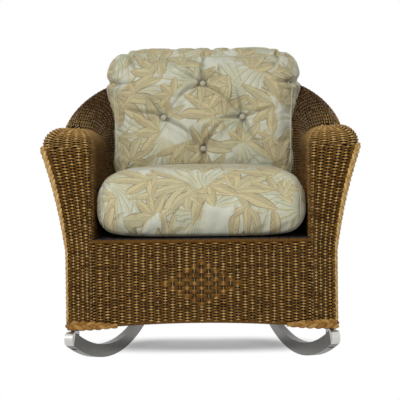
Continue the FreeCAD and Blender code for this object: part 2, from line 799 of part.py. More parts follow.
def arm_stakes():
    """The right arm's raised stakes: up its front and over its inner wall and top."""
    roll_end = FRONT + panel_set_back + size.arm_roll_radius
    foot = arm_foot + size.stake_width
    raised = arm_block(-size.stake_height, arm_foot, arm_rear)
    raised = raised.cut(arm_block(size.skin_thickness / 2, arm_foot - beyond, arm_rear + beyond))
    bars = []
    for number in range(1, 3):
        side = size.inner_half_width + number * size.front_stake_spread - size.stake_width / 2
        bars.append(Part.makeBox(size.stake_width, roll_end - FRONT, overall_depth, Vector(side, FRONT, foot)))
    pitch = (arm_rear - roll_end) / ARM_STAKES
    for number in range(ARM_STAKES):
        start = roll_end + (number + 0.5) * pitch - size.stake_width / 2
        bars.append(Part.makeBox(overall_depth, size.stake_width, overall_depth, Vector(0, start, foot)))
    return raised.common(Part.makeCompound(bars))


arm_skin = arm_shell.fuse(arm_stakes()).cut(wall_room).cut(groove).cut(below_deck)
side_skin = arm_block(0, skin_foot, arm_rear)
side_skin = side_skin.cut(arm_block(size.skin_thickness, skin_foot - beyond, arm_rear + beyond))
side_skin = side_skin.common(wall_room.translated(BACKWARD * size.seat_gap))
for side_name, side in SIDES:
    finish(solid("arm_skin_" + side_name, arm_skin if side > 0 else mirrored(arm_skin)),
           "arm_skin_" + side_name)
    finish(solid("side_skin_" + side_name, side_skin if side > 0 else mirrored(side_skin)),
           "side_skin_" + side_name)

# Back: inner and outer skins round the barrel

finish(solid("back_inner_skin", Part.makeLoft([inner_section(angle) for angle in station_angles], True, False)),
       "back_inner_skin")


def back_stake(angle):
    """A raised stake up the outer skin, sunk halfway into it."""
    face = outer_points(angle)
    foot = face[0] + Vector(0, size.stake_width, 0)
    bend = Part.Arc(face[1], bulged(face[1], face[2], size.outer_hollow / (face[2] - face[1]).Length), face[2])
    length = bend.LastParameter - bend.FirstParameter
    middle = bend.value(bend.FirstParameter + length * STAKE_TOP_SHARE / 2)
    top = bend.value(bend.FirstParameter + length * STAKE_TOP_SHARE)
    outward = Vector(size.stake_height, 0, 0)
    inward = Vector(-size.skin_thickness / 2, 0, 0)
    stops = [foot + outward, face[1] + outward, (middle + outward, top + outward), top + inward,
             (middle + inward, face[1] + inward), foot + inward, foot + outward]
    outline = path(*[tuple(around(point, angle) for point in stop) if isinstance(stop, tuple)
                     else around(stop, angle) for stop in stops])
    along = Vector(-math.sin(angle), math.cos(angle), 0) * size.stake_width
    return Part.Face(outline).extrude(along).translated(along * -0.5)


outer_skin = Part.makeLoft([outer_section(angle) for angle in station_angles], True, False)
stake_angles = [math.pi * (number + 0.5) / BACK_STAKES for number in range(BACK_STAKES)]
finish(solid("back_outer_skin", outer_skin.fuse([back_stake(angle) for angle in stake_angles])),
       "back_outer_skin")

# Plaited edges


def column_plait_points():
    """Up the front edge of the right arm, to where the roll turns back."""
    outer = outer_points(0)
    hollow = size.outer_hollow / (outer[2] - outer[1]).Length
    bend = Part.Arc(outer[1], bulged(outer[1], outer[2], hollow), outer[2])
    inset = size.plait_radius - size.skin_thickness / 2
    flat = [Vector(outer[0].x, above.column_plait_foot_height, 0),
            Vector(outer[0].x, (above.column_plait_foot_height + outer[1].y) / 2, 0)]
    flat += [bend.value(bend.FirstParameter + (bend.LastParameter - bend.FirstParameter) * step / 4)
             for step in range(5)]
    return [Vector(point.x - inset, FRONT + size.plait_radius, point.y) for point in flat]


column_points = column_plait_points()
column_plait = rope(column_points, [size.plait_radius] * len(column_points), BACKWARD)
arm_plait_start = behind_panel + size.seat_gap
for side_name, side in SIDES:
    finish(solid("column_plait_" + side_name, column_plait if side > 0 else mirrored(column_plait)),
           "column_plait_" + side_name)
    start = Vector(side * rim.x, arm_plait_start, rim.y)
    length = "%.9g mm" % (arm_rear - arm_plait_start)
    finish(cylinder("arm_plait_" + side_name, "sizes.plait_radius", length, aim(start, start + BACKWARD)),
           "arm_plait_" + side_name)

finish(solid("arch_plait", barrel_rope(rim_line, size.plait_radius)), "arch_plait")

base_line = (size.outer_half_width - size.base_plait_radius, size.outer_rear_reach - size.base_plait_radius,
             above.base_plait_height, above.base_plait_height)
finish(solid("base_plait_back", barrel_rope(base_line, size.base_plait_radius)), "base_plait_back")

FOOT_REACH_SHARES = (0, 0.22, 0.42, 0.7, 1)
FOOT_RADIUS_SHARES = (1, 0.85, 0.5, 0.25, 0)
foot_points = []
foot_radii = []
for reach_share, radius_share in zip(FOOT_REACH_SHARES, FOOT_RADIUS_SHARES):
    span = size.foot_plait_outer_end - size.foot_plait_inner_end
    radius = size.foot_plait_tip_radius
    radius += (size.foot_plait_radius - size.foot_plait_tip_radius) * radius_share
    set_back = max(size.foot_plait_radius * radius_share, panel_back - 2 * size.seat_gap - radius)
    foot_points.append(Vector(size.foot_plait_outer_end - span * reach_share, FRONT + set_back,
                              above.foot_plait_height))
    foot_radii.append(radius)
leg_notch = Part.makeCylinder(size.tube_radius + size.seat_gap, 2 * above.foot_plait_height,
                              Vector(size.leg_half_span, FRONT + front_leg_set_back, 0))
foot_plait = rope(foot_points, foot_radii).cut(leg_notch)
base_plait_start = FRONT + front_leg_set_back + size.tube_radius + size.seat_gap
for side_name, side in SIDES:
    finish(solid("foot_plait_" + side_name, foot_plait if side > 0 else mirrored(foot_plait)),
           "foot_plait_" + side_name)
    start = Vector(side * base_line[0], base_plait_start, above.base_plait_height)
    length = "%.9g mm" % (arm_rear - base_plait_start)
    finish(cylinder("base_plait_" + side_name, "sizes.base_plait_radius", length,
                    aim(start, start + BACKWARD)), "base_plait_" + side_name)

# Apron under the seat, bound above and below

apron_top = deck_top - 2 * size.apron_binding_radius - size.seat_gap


def apron_outline():
    """The apron from the front: level top, upright ends and an arched foot."""
    half, foot, top = size.apron_half_width, above.apron_foot_height, apron_top
    level = FRONT + apron_face
    return path(Vector(-half, level, foot),
                (Vector(0, level, foot + size.apron_arch_rise), Vector(half, level, foot)),
                Vector(half, level, top), Vector(-half, level, top), Vector(-half, level, foot))


apron_profile = solid("apron_profile", apron_outline())
apron = doc.addObject("Part::Extrusion", "apron_skin")
apron.Base = apron_profile
apron.Dir = Vector(0, 1, 0)
apron.Solid = True
apron.setExpression("LengthFwd", "sizes.skin_thickness")
finish(apron, "apron_skin")

binding_level = deck_top - size.apron_binding_radius
binding_set_back = FRONT + apron_face + size.apron_binding_radius
binding_start = Vector(-size.apron_half_width, binding_set_back, binding_level)
finish(cylinder("apron_top_binding", "sizes.apron_binding_radius", "2 * sizes.apron_half_width",
                aim(binding_start, binding_start + ACROSS)), "apron_top_binding")

lower = above.apron_foot_height - size.apron_binding_radius - size.seat_gap
lower_arch = Part.Arc(Vector(-size.apron_half_width, binding_set_back, lower),
                      Vector(0, binding_set_back, lower + size.apron_arch_rise),
                      Vector(size.apron_half_width, binding_set_back, lower))
arch_points = [lower_arch.value(lower_arch.FirstParameter
                                + (lower_arch.LastParameter - lower_arch.FirstParameter) * step / 6)
               for step in range(7)]
finish(solid("apron_foot_binding", rope(arch_points, [size.apron_binding_radius] * len(arch_points))),
       "apron_foot_binding")

# Cushions: lofts of sections of six arcs and lines, kept inside the barrel. Shares of
# place, width and height are chosen by hand.


def other(point):
    """The same place on the chair's left."""
    return Vector(-point.x, point.y, point.z)


def wall_section(angle, clearance):
    """A section of the inner skin grown towards the sitter, and far out behind."""
    face = offset_points(inner_points(angle), -clearance)
    face[0].y = deck_top - clearance
    share = bulge_at(angle)
    behind = Vector(size.inner_rear_reach, 0, 0)
    stops = [face[0], face[1], (bulged(face[1], face[2], share), face[2]), face[3],
             (bulged(face[3], face[4], share), face[4]), face[4] + behind, face[0] + behind, face[0]]
    return path(*[tuple(around(point, angle) for point in stop) if isinstance(stop, tuple)
                  else around(stop, angle) for stop in stops])


def wall_block(inset):
    """What a cushion may not enter round the barrel, at a clearance."""
    clearance = size.cushion_clearance + inset
    return Part.makeLoft([wall_section(angle, clearance) for angle in station_angles], True, False)


SEAT_PLACE_SHARES = (0, 0.022, 0.075, 0.18, 0.36, 0.60, 0.735, 0.86, 0.95, 1)
SEAT_WIDTH_SHARES = (0.84, 0.92, 0.975, 0.995, 0.988, 0.985, 0.99, 0.97, 0.93, 0.88)
SEAT_CROWN_SHARES = (0.46, 0.66, 0.86, 0.98, 1, 0.90, 0.75, 0.735, 0.66, 0.50)
SEAT_EDGE_SHARES = (0.36, 0.52, 0.68, 0.76, 0.77, 0.72, 0.64, 0.60, 0.52, 0.40)
SEAT_FOOT_SHARES = (0.14, 0.06, 0.015, 0, 0, 0, 0, 0, 0.015, 0.05)


def seat_section(place, width, crown, edge, lift, inset):
    """One upright section of the seat cushion, flat below and crowned above."""
    half = size.seat_cushion_half_width * width - inset
    foot = deck_top + size.seat_cushion_crown * lift + size.seat_gap + inset
    top = deck_top + size.seat_cushion_crown * crown - inset
    shoulder = deck_top + size.seat_cushion_crown * edge - inset
    middle = (foot + shoulder) / 2
    length = size.seat_cushion_rear - size.seat_cushion_front - 2 * inset
    level = FRONT + size.seat_cushion_front + inset + length * place
    tuck = size.cushion_tuck
    corner = Vector(half - 3 * tuck, level, foot)
    flank = Vector(half, level, middle)
    edge_top = Vector(half - 3 * tuck, level, shoulder)
    low = Vector(half - tuck, level, (foot + middle) / 2 - tuck / 2)
    high = Vector(half - tuck / 2, level, (middle + shoulder) / 2 + tuck)
    return path(other(corner), corner, (low, flank), (high, edge_top),
                (Vector(0, level, top), other(edge_top)), (other(high), other(flank)),
                (other(low), other(corner)))


def seat_pillow(inset):
    """The seat cushion's whole body, pressed flat where the back cushion rests."""
    sections = [seat_section(*shares, inset) for shares in
                zip(SEAT_PLACE_SHARES, SEAT_WIDTH_SHARES, SEAT_CROWN_SHARES, SEAT_EDGE_SHARES,
                    SEAT_FOOT_SHARES)]
    pillow = Part.makeLoft(sections, True, False)
    floor = Part.makeBox(overall_depth, overall_depth, deck_top + size.seat_gap + inset,
                         Vector(-overall_depth / 2, FRONT, 0))
    rest = deck_top + size.seat_cushion_rest_height - inset
    pressed = Part.makeBox(overall_depth, overall_depth, overall_depth,
                           Vector(-overall_depth / 2, BARREL + size.cushion_clearance, rest))
    return pillow.cut(floor).cut(pressed).cut(wall_block(inset))


BACK_HEIGHT_SHARES = (0, 0.05, 0.17, 0.38, 0.60, 0.78, 0.90, 0.965, 1)
BACK_WIDTH_SHARES = (0.76, 0.86, 0.925, 0.935, 0.965, 1, 0.985, 0.93, 0.80)
BACK_DEPTH_SHARES = (0.74, 0.90, 1, 1.02, 1, 0.92, 0.76, 0.55, 0.28)
BACK_FRONT_SHARES = (0.10, 0.02, 0, 0.14, 0.32, 0.50, 0.72, 0.92, 1.18)
BACK_CORNER_SHARES = (0.70, 0.10)
BACK_NEAR_SHARES = (0.92, 0.22)
BACK_FLANK_SHARES = (1, 0.46)
BACK_FAR_SHARES = (0.93, 0.76)
BACK_QUARTER_SHARES = (0.70, 0.92)


def back_section(height, width, depth, lean, inset):
    """One level section of the back cushion."""
    foot = deck_top + size.seat_cushion_rest_height + size.seat_gap
    level = foot + inset + (size.back_cushion_height - 2 * inset) * height
    half = size.back_cushion_half_width * width - inset
    thick = size.back_cushion_depth * depth - 2 * inset
    front = FRONT + size.back_cushion_front + size.back_cushion_rake * lean + inset
    corner, near, flank, far, quarter = [
        Vector(half * across, front + thick * along, level) for across, along in
        (BACK_CORNER_SHARES, BACK_NEAR_SHARES, BACK_FLANK_SHARES, BACK_FAR_SHARES, BACK_QUARTER_SHARES)]
    return path(other(corner), (Vector(0, front, level), corner), (near, flank), (far, quarter),
                (Vector(0, front + thick, level), other(quarter)), (other(far), other(flank)),
                (other(near), other(corner)))


def back_pillow(inset):
    """The back cushion's whole body before it is tufted."""
    sections = [back_section(*shares, inset) for shares in
                zip(BACK_HEIGHT_SHARES, BACK_WIDTH_SHARES, BACK_DEPTH_SHARES, BACK_FRONT_SHARES)]
    return Part.makeLoft(sections, True, False).cut(wall_block(inset))


tuft_places = [Vector(0, 0, above.tuft_height + size.tuft_rise), Vector(0, 0, above.tuft_height - size.tuft_rise),
               Vector(size.tuft_spread, 0, above.tuft_height), Vector(-size.tuft_spread, 0, above.tuft_height)]
whole_back = back_pillow(0)


def depth_span(shape, place):
    """Where a line straight through the cushion enters and leaves it."""
    probe = Part.makeLine(Vector(place.x, FRONT, place.z), Vector(place.x, -FRONT, place.z))
    levels = [vertex.Y for vertex in shape.common(probe).Vertexes]
    return min(levels), max(levels)


tuft_spans = [depth_span(whole_back, place) for place in tuft_places]


def dimple(place, level, mouth, floor, depth, inward):
    """A cone that draws the cushion in, begun well outside of its face."""
    start = Vector(place.x, level, place.z) - inward * depth
    return Part.makeCone(2 * mouth - floor, floor, 2 * depth, start, inward)


def tufted(inset, clear):
    """The back cushion drawn in at its tufts, front and rear, and bored for the twine."""
    pillow = back_pillow(inset)
    floor = size.button_radius + size.seat_gap + clear
    for place, (front, rear) in zip(tuft_places, tuft_spans):
        mouth = dimple(place, front, size.tuft_mouth_radius + clear, floor, size.tuft_depth + clear, BACKWARD)
        back_mouth = dimple(place, rear, size.rear_tuft_mouth_radius + clear, floor,
                            size.rear_tuft_depth + clear, -BACKWARD)
        bore = Part.makeCylinder(size.twine_radius + size.seat_gap + clear, rear - front,
                                 Vector(place.x, front, place.z), BACKWARD)
        pillow = pillow.cut(mouth).cut(back_mouth).cut(bore)
    return pillow


wrap = size.cover_thickness
seat_core = seat_pillow(wrap + size.seat_gap)
seat_cover = seat_pillow(0).cut(seat_pillow(wrap))
finish(solid("seat_cushion", seat_cover), "seat_cushion")
finish(solid("seat_cushion_foam", seat_core), "seat_cushion_foam")
back_core = tufted(wrap + size.seat_gap, wrap + size.seat_gap)
back_cover = tufted(0, 0).cut(tufted(wrap, wrap))
finish(solid("back_cushion", back_cover), "back_cushion")
finish(solid("back_cushion_foam", back_core), "back_cushion_foam")

front_buttons = []
rear_buttons = []
twines = []
for place, (front, rear) in zip(tuft_places, tuft_spans):
    seat = front + size.tuft_depth - size.seat_gap
    rear_seat = rear - size.rear_tuft_depth + size.seat_gap
    front_buttons.append(Part.makeCylinder(size.button_radius, size.button_thickness,
                                           Vector(place.x, seat - size.button_thickness, place.z), BACKWARD))
    rear_buttons.append(Part.makeCylinder(size.button_radius, size.rear_button_thickness,
                                          Vector(place.x, rear_seat, place.z), BACKWARD))
    twines.append(Part.makeCylinder(size.twine_radius, rear_seat - seat - 2 * size.seat_gap,
                                    Vector(place.x, seat + size.seat_gap, place.z), BACKWARD))
finish(solid("front_buttons", Part.makeCompound(front_buttons)), "front_buttons")
finish(solid("rear_buttons", Part.makeCompound(rear_buttons)), "rear_buttons")
finish(solid("tuft_twines", Part.makeCompound(twines)), "tuft_twines")

# Build, check and write

doc.recompute()
for thing in doc.Objects:
    faults = [word for word in thing.State if word in ("Invalid", "Error")]
    if faults:
        raise RuntimeError("%s is %s" % (thing.Name, faults))
for thing in subparts:
    if thing.Shape.isNull() or not thing.Shape.isValid() or not thing.Shape.Solids:
        raise RuntimeError("%s has no sound shape" % thing.Label)
for thing in subparts:
    thing.Shape.exportStep(os.path.join("parts", thing.Label + ".step"))
print(len(subparts), "sub-parts written")
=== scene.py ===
import math
from types import SimpleNamespace

import bpy
import numpy as np
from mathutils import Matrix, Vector


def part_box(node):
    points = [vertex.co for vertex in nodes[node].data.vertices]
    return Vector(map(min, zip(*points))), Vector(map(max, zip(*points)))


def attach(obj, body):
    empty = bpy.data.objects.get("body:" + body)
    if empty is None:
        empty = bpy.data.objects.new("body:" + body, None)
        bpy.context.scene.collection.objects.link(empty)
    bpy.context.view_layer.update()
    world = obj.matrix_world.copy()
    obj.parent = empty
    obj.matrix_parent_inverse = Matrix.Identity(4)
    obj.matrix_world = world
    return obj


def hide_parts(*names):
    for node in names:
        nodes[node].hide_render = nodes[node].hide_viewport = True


# A woven barrel lounge chair on curved metal rails. The shell is woven here strand by
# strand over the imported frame, and the two cushions are simulated as stuffed covers.

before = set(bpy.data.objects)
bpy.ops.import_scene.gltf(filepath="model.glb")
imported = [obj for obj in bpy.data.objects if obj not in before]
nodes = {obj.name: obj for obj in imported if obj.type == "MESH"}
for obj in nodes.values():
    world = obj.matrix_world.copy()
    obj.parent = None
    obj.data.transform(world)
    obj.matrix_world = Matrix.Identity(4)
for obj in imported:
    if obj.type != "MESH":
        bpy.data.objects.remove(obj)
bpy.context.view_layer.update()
chance = np.random.default_rng(7)
SIDES = (("left", -1), ("right", 1))
QUARTER = math.pi / 2


# Small helpers for meshes


def linked(name, data):
    """A new object of a mesh, a lamp or a camera, in the scene."""
    thing = bpy.data.objects.new(name, data)
    bpy.context.scene.collection.objects.link(thing)
    return thing


def made_mesh(name, points, edges=(), faces=()):
    """A new object from plain lists, at the origin."""
    mesh = bpy.data.meshes.new(name)
    points = [tuple(map(float, point)) for point in points]
    mesh.from_pydata(points, [tuple(edge) for edge in edges], [tuple(face) for face in faces])
    mesh.update()
    return linked(name, mesh)


def plain_mesh(thing):
    """The mesh that an object's modifiers make. They are taken off after that."""
    plain = bpy.data.meshes.new_from_object(thing.evaluated_get(bpy.context.evaluated_depsgraph_get()))
    thing.modifiers.clear()
    return plain


def attribute(thing, name, values):
    """Stores a number or a vector for each point."""
    values = np.asarray(values, np.float32)
    kind, field = ("FLOAT_VECTOR", "vector") if values.ndim == 2 else ("FLOAT", "value")
    layer = thing.data.attributes.new(name, kind, "POINT")
    layer.data.foreach_set(field, values.ravel())


def point_values(thing, field="co"):
    """Each point's place, or with "normal" its outward way."""
    numbers = np.zeros(len(thing.data.vertices) * 3, np.float32)
    thing.data.vertices.foreach_get(field, numbers)
    return numbers.reshape(-1, 3).astype(float)


def settle(thing, points):
    """Moves the points to new places."""
    thing.data.vertices.foreach_set("co", np.asarray(points, np.float32).ravel())
    thing.data.update()


def surfaced(thing, finish):
    """Smooth shading on every face, and the finish."""
    thing.data.polygons.foreach_set("use_smooth", [True] * len(thing.data.polygons))
    thing.data.materials.append(finish)


def unit(vectors):
    """Each vector at length 1."""
    return vectors / np.maximum(np.linalg.norm(vectors, axis=-1, keepdims=True), 1e-9)


# Node trees, for shaders and for geometry


def maths(operation, swapped=False):
    """A socket's method that adds a Math node. swapped puts the socket last, as in 1 - mask."""

    def method(self, *others):
        values = (*others, self) if swapped else (self, *others)
        return self.tree.add("Math", {"operation": operation}, *values)

    return method


class Socket:
    """One output of a node, with arithmetic that adds Math nodes."""

    def __init__(self, tree, link):
        self.tree = tree
        self.link = link

    __add__, __radd__ = maths("ADD"), maths("ADD", swapped=True)
    __sub__, __rsub__ = maths("SUBTRACT"), maths("SUBTRACT", swapped=True)
    __mul__, __rmul__ = maths("MULTIPLY"), maths("MULTIPLY", swapped=True)
    __truediv__, __rtruediv__ = maths("DIVIDE"), maths("DIVIDE", swapped=True)
    __pow__, __mod__, __abs__ = maths("POWER"), maths("FLOORED_MODULO"), maths("ABSOLUTE")
    sin, cos, angle_to = maths("SINE"), maths("COSINE"), maths("ARCTAN2")
    sqrt, floor = maths("SQRT"), maths("FLOOR")
    least, most = maths("MINIMUM"), maths("MAXIMUM")

    def step(self, low, high):
        """0 below low, 1 above high, and soft between them."""
        return self.tree.add("MapRange", {"interpolation_type": "SMOOTHSTEP"}, self, low, high, 0.0, 1.0)


SHARED_NODES = ("Math", "VectorMath", "CombineXYZ", "SeparateXYZ", "MapRange")


class Tree:
    """A node tree that is written as Python expressions."""

    def __init__(self, tree, prefix):
        self.tree = tree
        self.prefix = prefix

    def node(self, kind, settings=None, *values, **named):
        """A node with its settings, and its sockets linked or set in order or by name."""
        home = "Shader" if kind in SHARED_NODES else self.prefix
        name = kind if kind.startswith(("Shader", "Geometry", "Node", "Function")) else home + "Node" + kind
        made = self.tree.nodes.new(name)
        for word, setting in (settings or {}).items():
            setattr(made, word, setting)
        free = [socket for socket in made.inputs if socket.enabled and not socket.hide]
        fed = list(zip(free, values)) + [(self.named(made, key), item) for key, item in named.items()]
        for socket, value in fed:
            if isinstance(value, Socket):
                self.tree.links.new(value.link, socket)
            elif value is not None:
                socket.default_value = value
        return made

    @staticmethod
    def named(made, key):
        """The enabled input whose name is the key with spaces for underlines."""
        words = key.replace("_", " ").lower()
        return [s for s in made.inputs if s.enabled and s.name.lower() == words][0]

    def add(self, kind, settings=None, *values, out=0, **named):
        """A node's output. out is its place among the outputs in use, or its name."""
        made = self.node(kind, settings, *values, **named)
        shown = [socket for socket in made.outputs if socket.enabled]
        link = shown[out] if isinstance(out, int) else [s for s in shown if s.name == out][0]
        return Socket(self, link)

    def backdrop_rays(self):
        """1 for rays from the camera, off gloss and through glass, which see the backdrop white."""
        ray = self.node("LightPath")
        camera, glossy, through = [Socket(self, ray.outputs["Is " + word + " Ray"])
                                   for word in ("Camera", "Glossy", "Transmission")]
        return camera.most(glossy).most(through)


class Shader(Tree):
    """A material's tree, with its own principled shader."""

    def __init__(self, name):
        self.material = bpy.data.materials.new(name)
        self.material.use_nodes = True
        super().__init__(self.material.node_tree, "Shader")
        self.tree.nodes.clear()
        self.surface = self.node("ShaderNodeBsdfPrincipled")
        self.output = self.node("ShaderNodeOutputMaterial")
        self.tree.links.new(self.surface.outputs[0], self.output.inputs[0])

    def constant(self, **values):
        """Sets sockets that are the same all over."""
        for key, value in values.items():
            self.named(self.surface, key).default_value = value

    def feed(self, **values):
        """Links what changes over the surface."""
        for key, value in values.items():
            self.tree.links.new(value.link, self.named(self.surface, key))

    def place(self):
        """Object coordinates."""
        return self.add("TexCoord", out="Object")

    def apart(self, vector):
        """A vector's three numbers."""
        made = self.node("SeparateXYZ", None, vector)
        return [Socket(self, socket) for socket in made.outputs]

    def together(self, x, y, z=0.0):
        return self.add("CombineXYZ", None, x, y, z)

    def mix(self, share, first, second):
        """One colour into another by a share."""
        return self.add("Mix", {"data_type": "RGBA"}, share, first, second)

    def noise(self, vector, scale, detail=3.0, rough=0.55):
        return self.add("TexNoise", None, vector, Scale=scale, Detail=detail, Roughness=rough)

    def stretched(self, vector, scale):
        return self.add("Mapping", {"vector_type": "POINT"}, vector, Scale=scale)

    def value(self, name):
        """A float attribute of the piece."""
        return self.add("Attribute", {"attribute_name": name}, out="Fac")

    def bump(self, height, distance, strength=1.0):
        self.feed(Normal=self.add("Bump", None, Strength=strength, Distance=distance, Height=height))


def colour(red, green, blue):
    """A colour as it shows on a screen, from 0 to 255, as the shader wants it."""
    parts = [channel / 255 for channel in (red, green, blue)]
    return tuple(p / 12.92 if p <= 0.04045 else ((p + 0.055) / 1.055) ** 2.4 for p in parts) + (1.0,)


# Geometry trees


def geometry_tree(name, sizes):
    """A tree with a geometry input, named number inputs and a finish at its end."""
    group = bpy.data.node_groups.new(name, "GeometryNodeTree")
    group.interface.new_socket("Geometry", in_out="INPUT", socket_type="NodeSocketGeometry")
    for word, number in sizes.items():
        kind = "NodeSocketInt" if isinstance(number, int) else "NodeSocketFloat"
        group.interface.new_socket(word, in_out="INPUT", socket_type=kind).default_value = number
    group.interface.new_socket("Finish", in_out="INPUT", socket_type="NodeSocketMaterial")
    group.interface.new_socket("Geometry", in_out="OUTPUT", socket_type="NodeSocketGeometry")
    tree = Tree(group, "Geometry")
    start = tree.node("NodeGroupInput")
    inputs = {socket.name: Socket(tree, socket) for socket in start.outputs if socket.name}
    return group, tree, inputs


def close_tree(tree, inputs, shape):
    """Smooth shading, real geometry and the finish."""
    shape = tree.add("SetShadeSmooth", None, shape)
    shape = tree.add("RealizeInstances", None, shape)
    shape = tree.add("SetMaterial", None, shape, None, inputs["Finish"])
    output = tree.node("NodeGroupOutput")
    tree.tree.links.new(shape.link, output.inputs[0])


def per_point(tree, name, kind="FLOAT"):
    """An attribute of the lines."""
    return tree.add("InputNamedAttribute", {"data_type": kind}, name)


def scaled(tree, way, by):
    """A way at another length."""
    return tree.add("VectorMath", {"operation": "SCALE"}, way, by)


def swept(tree, line, girth, sides):
    """A line of edges with a round strand along it, as thick as its girth attribute."""
    curve = tree.add("MeshToCurve", None, line)
    circle = tree.add("CurvePrimitiveCircle", {"mode": "RADIUS"}, Resolution=sides, Radius=girth)
    made = tree.node("CurveToMesh", None, curve, circle)
    for socket in made.inputs:
        if socket.name == "Scale":
            tree.tree.links.new(per_point(tree, "girth").link, socket)
        if socket.name == "Fill Caps":
            socket.default_value = True
    return Socket(tree, made.outputs[0])


def strand_sizes(depth, sides):
    """A weave's sizes. Its strands' girths are radii in millimetres."""
    return {"Strand radius": 0.001, "Weave depth": depth, "Sides": sides}


def plait_sizes(strand, width, depth, turn, sides=8):
    """A plait's sizes: its strands' radius, its half width and depth, and the length of one turn."""
    return {"Strand radius": strand, "Plait width": width, "Plait depth": depth, "Turn length": turn,
            "Sides": sides}


def weave_tree():
    """Lifts each strand over and under, and gives it its thickness."""
    group, tree, inputs = geometry_tree("weave", strand_sizes(0.003, 5))
    way = per_point(tree, "way_out", "FLOAT_VECTOR")
    offset = scaled(tree, way, per_point(tree, "lift") * inputs["Weave depth"])
    moved = tree.add("SetPosition", None, inputs["Geometry"], None, None, offset)
    close_tree(tree, inputs, swept(tree, moved, inputs["Strand radius"], inputs["Sides"]))
    return group


def plait_tree():
    """Three strands over each other along a line, as far apart as its girth allows."""
    group, tree, inputs = geometry_tree("plait", plait_sizes(0.004, 0.004, 0.002, 0.04))
    beside = per_point(tree, "beside", "FLOAT_VECTOR")
    way = per_point(tree, "way_out", "FLOAT_VECTOR")
    run, girth = per_point(tree, "run"), per_point(tree, "girth")
    join = tree.node("JoinGeometry")
    for strand in range(3):
        turn = run / inputs["Turn length"] * math.tau + strand * math.tau / 3
        across = scaled(tree, beside, turn.sin() * girth * inputs["Plait width"])
        outward = scaled(tree, way, (turn * 2).sin() * girth * inputs["Plait depth"])
        offset = tree.add("VectorMath", {"operation": "ADD"}, across, outward)
        moved = tree.add("SetPosition", None, inputs["Geometry"], None, None, offset)
        marked = tree.add("StoreNamedAttribute", {"data_type": "FLOAT", "domain": "POINT"}, moved, None,
                          "tint", float(strand) / 2)
        shape = swept(tree, marked, inputs["Strand radius"], inputs["Sides"])
        tree.tree.links.new(shape.link, join.inputs[0])
    close_tree(tree, inputs, Socket(tree, join.outputs[0]))
    return group


WEAVE = weave_tree()
PLAIT = plait_tree()


def placed(piece, replaced=()):
    """The last calls for a finished piece."""
    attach(piece, "root")
    if replaced:
        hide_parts(*replaced)
    return piece


def built(name, lines, group, sizes, finish, replaced=()):
    """Runs a tree on an object of edges and keeps the result as a plain mesh."""
    grown = lines.modifiers.new("grown", "NODES")
    grown.node_group = group
    values = {**sizes, "Finish": finish}
    for item in group.interface.items_tree:
        if item.in_out == "INPUT" and item.name in values:
            grown[item.identifier] = values[item.name]
    plain = plain_mesh(lines)
    bpy.data.objects.remove(lines)
    plain.name = name
    if not plain.materials:
        plain.materials.append(finish)
    return placed(linked(name, plain), replaced)


def strand_lines(name, strands):
    """An object of edges from strands with points, outward ways, a lift, a girth and a tint."""
    edges, start = [], 0
    for strand in strands:
        count = len(strand["points"])
        edges += [(start + step, start + step + 1) for step in range(count - 1)]
        start += count
    thing = made_mesh(name, np.concatenate([strand["points"] for strand in strands]), edges)
    attribute(thing, "way_out", np.concatenate([strand["ways"] for strand in strands]))
    for word in ("lift", "girth", "tint"):
        values = [np.broadcast_to(strand[word], len(strand["points"])) for strand in strands]
        attribute(thing, word, np.concatenate(values))
    return thing


# Finishes


def strand_finish(name, dip_shade, middle, light, worn, inside=False):
    """Round resin strand: mottled along its length, with painted shade where it dips and a pale crown that is
    partly wear and partly painted highlight.

    Inside the shell it gets painted shade, and the arms' tops get a painted highlight."""
    paint = Shader(name)
    place = paint.place()
    tint = paint.value("tint")
    mottled = paint.noise(place, 90.0, 3.0, 0.6)
    fine = paint.noise(paint.stretched(place, (1.0, 1.0, 3.0)), 420.0, 2.0)
    shade = (tint.least(1.0) * 0.45 + mottled * 0.75 + fine * 0.25 - 0.25).step(0.05, 1.0)
    body = paint.mix(shade, middle, light)
    lift = paint.value("lift")
    # Painted shade: the strand darkens to near black where it dips under a stake
    painted_dip_shade = 1.0 - lift.step(-0.6, -0.08)
    body = paint.mix(painted_dip_shade * 0.96, body, dip_shade)
    # The highest crowns turn pale in patches: partly wear and partly a painted highlight
    crown_light_and_wear = lift.step(0.5, 1.0) * mottled.step(0.35, 0.65)
    body = paint.mix(crown_light_and_wear * 0.85, body, worn)
    if inside:
        across, along, above = paint.apart(place)
        # Painted shade: strands on the arms' inner walls and inside the back are darkened towards a dark
        # brown
        painted_inside_shade = (1.0 - abs(across).step(0.335, 0.40)).most(along.step(0.0, 0.1))
        painted_inside_shade = painted_inside_shade * along.step(-0.37, -0.25)
        inside_shade_colour = paint.mix(lift.step(-0.6, 0.3), dip_shade, colour(58, 27, 5))
        body = paint.mix(painted_inside_shade * 0.66, body, inside_shade_colour)
        # Painted highlight: the strands on the arms' tops are lightened towards the pale crown colour
        painted_top_light = above.step(0.63, 0.71) * (1.0 - along.step(-0.2, 0.1)) * lift.step(-0.5, 0.2)
        body = paint.mix(painted_top_light * 0.30, body, worn)
    stake = paint.mix(mottled.step(0.35, 0.65), colour(84, 68, 46), colour(146, 141, 124))
    body = paint.mix(tint.step(1.4, 1.6), body, stake)
    paint.feed(Base_Color=body, Roughness=0.42 + fine * 0.25)
    paint.bump(fine * 0.6 + mottled * 0.4, 0.0006, 0.6)
    paint.constant(Specular_IOR_Level=0.06 if inside else 0.12)
    return paint.material


# A strand's painted shade where it dips, its two own shades, and its pale crown colour, painted as highlight
# and wear
STRAND = (colour(4, 1, 0), colour(78, 48, 15), colour(134, 95, 37), colour(222, 182, 114))
wicker = strand_finish("woven_strand", *STRAND)
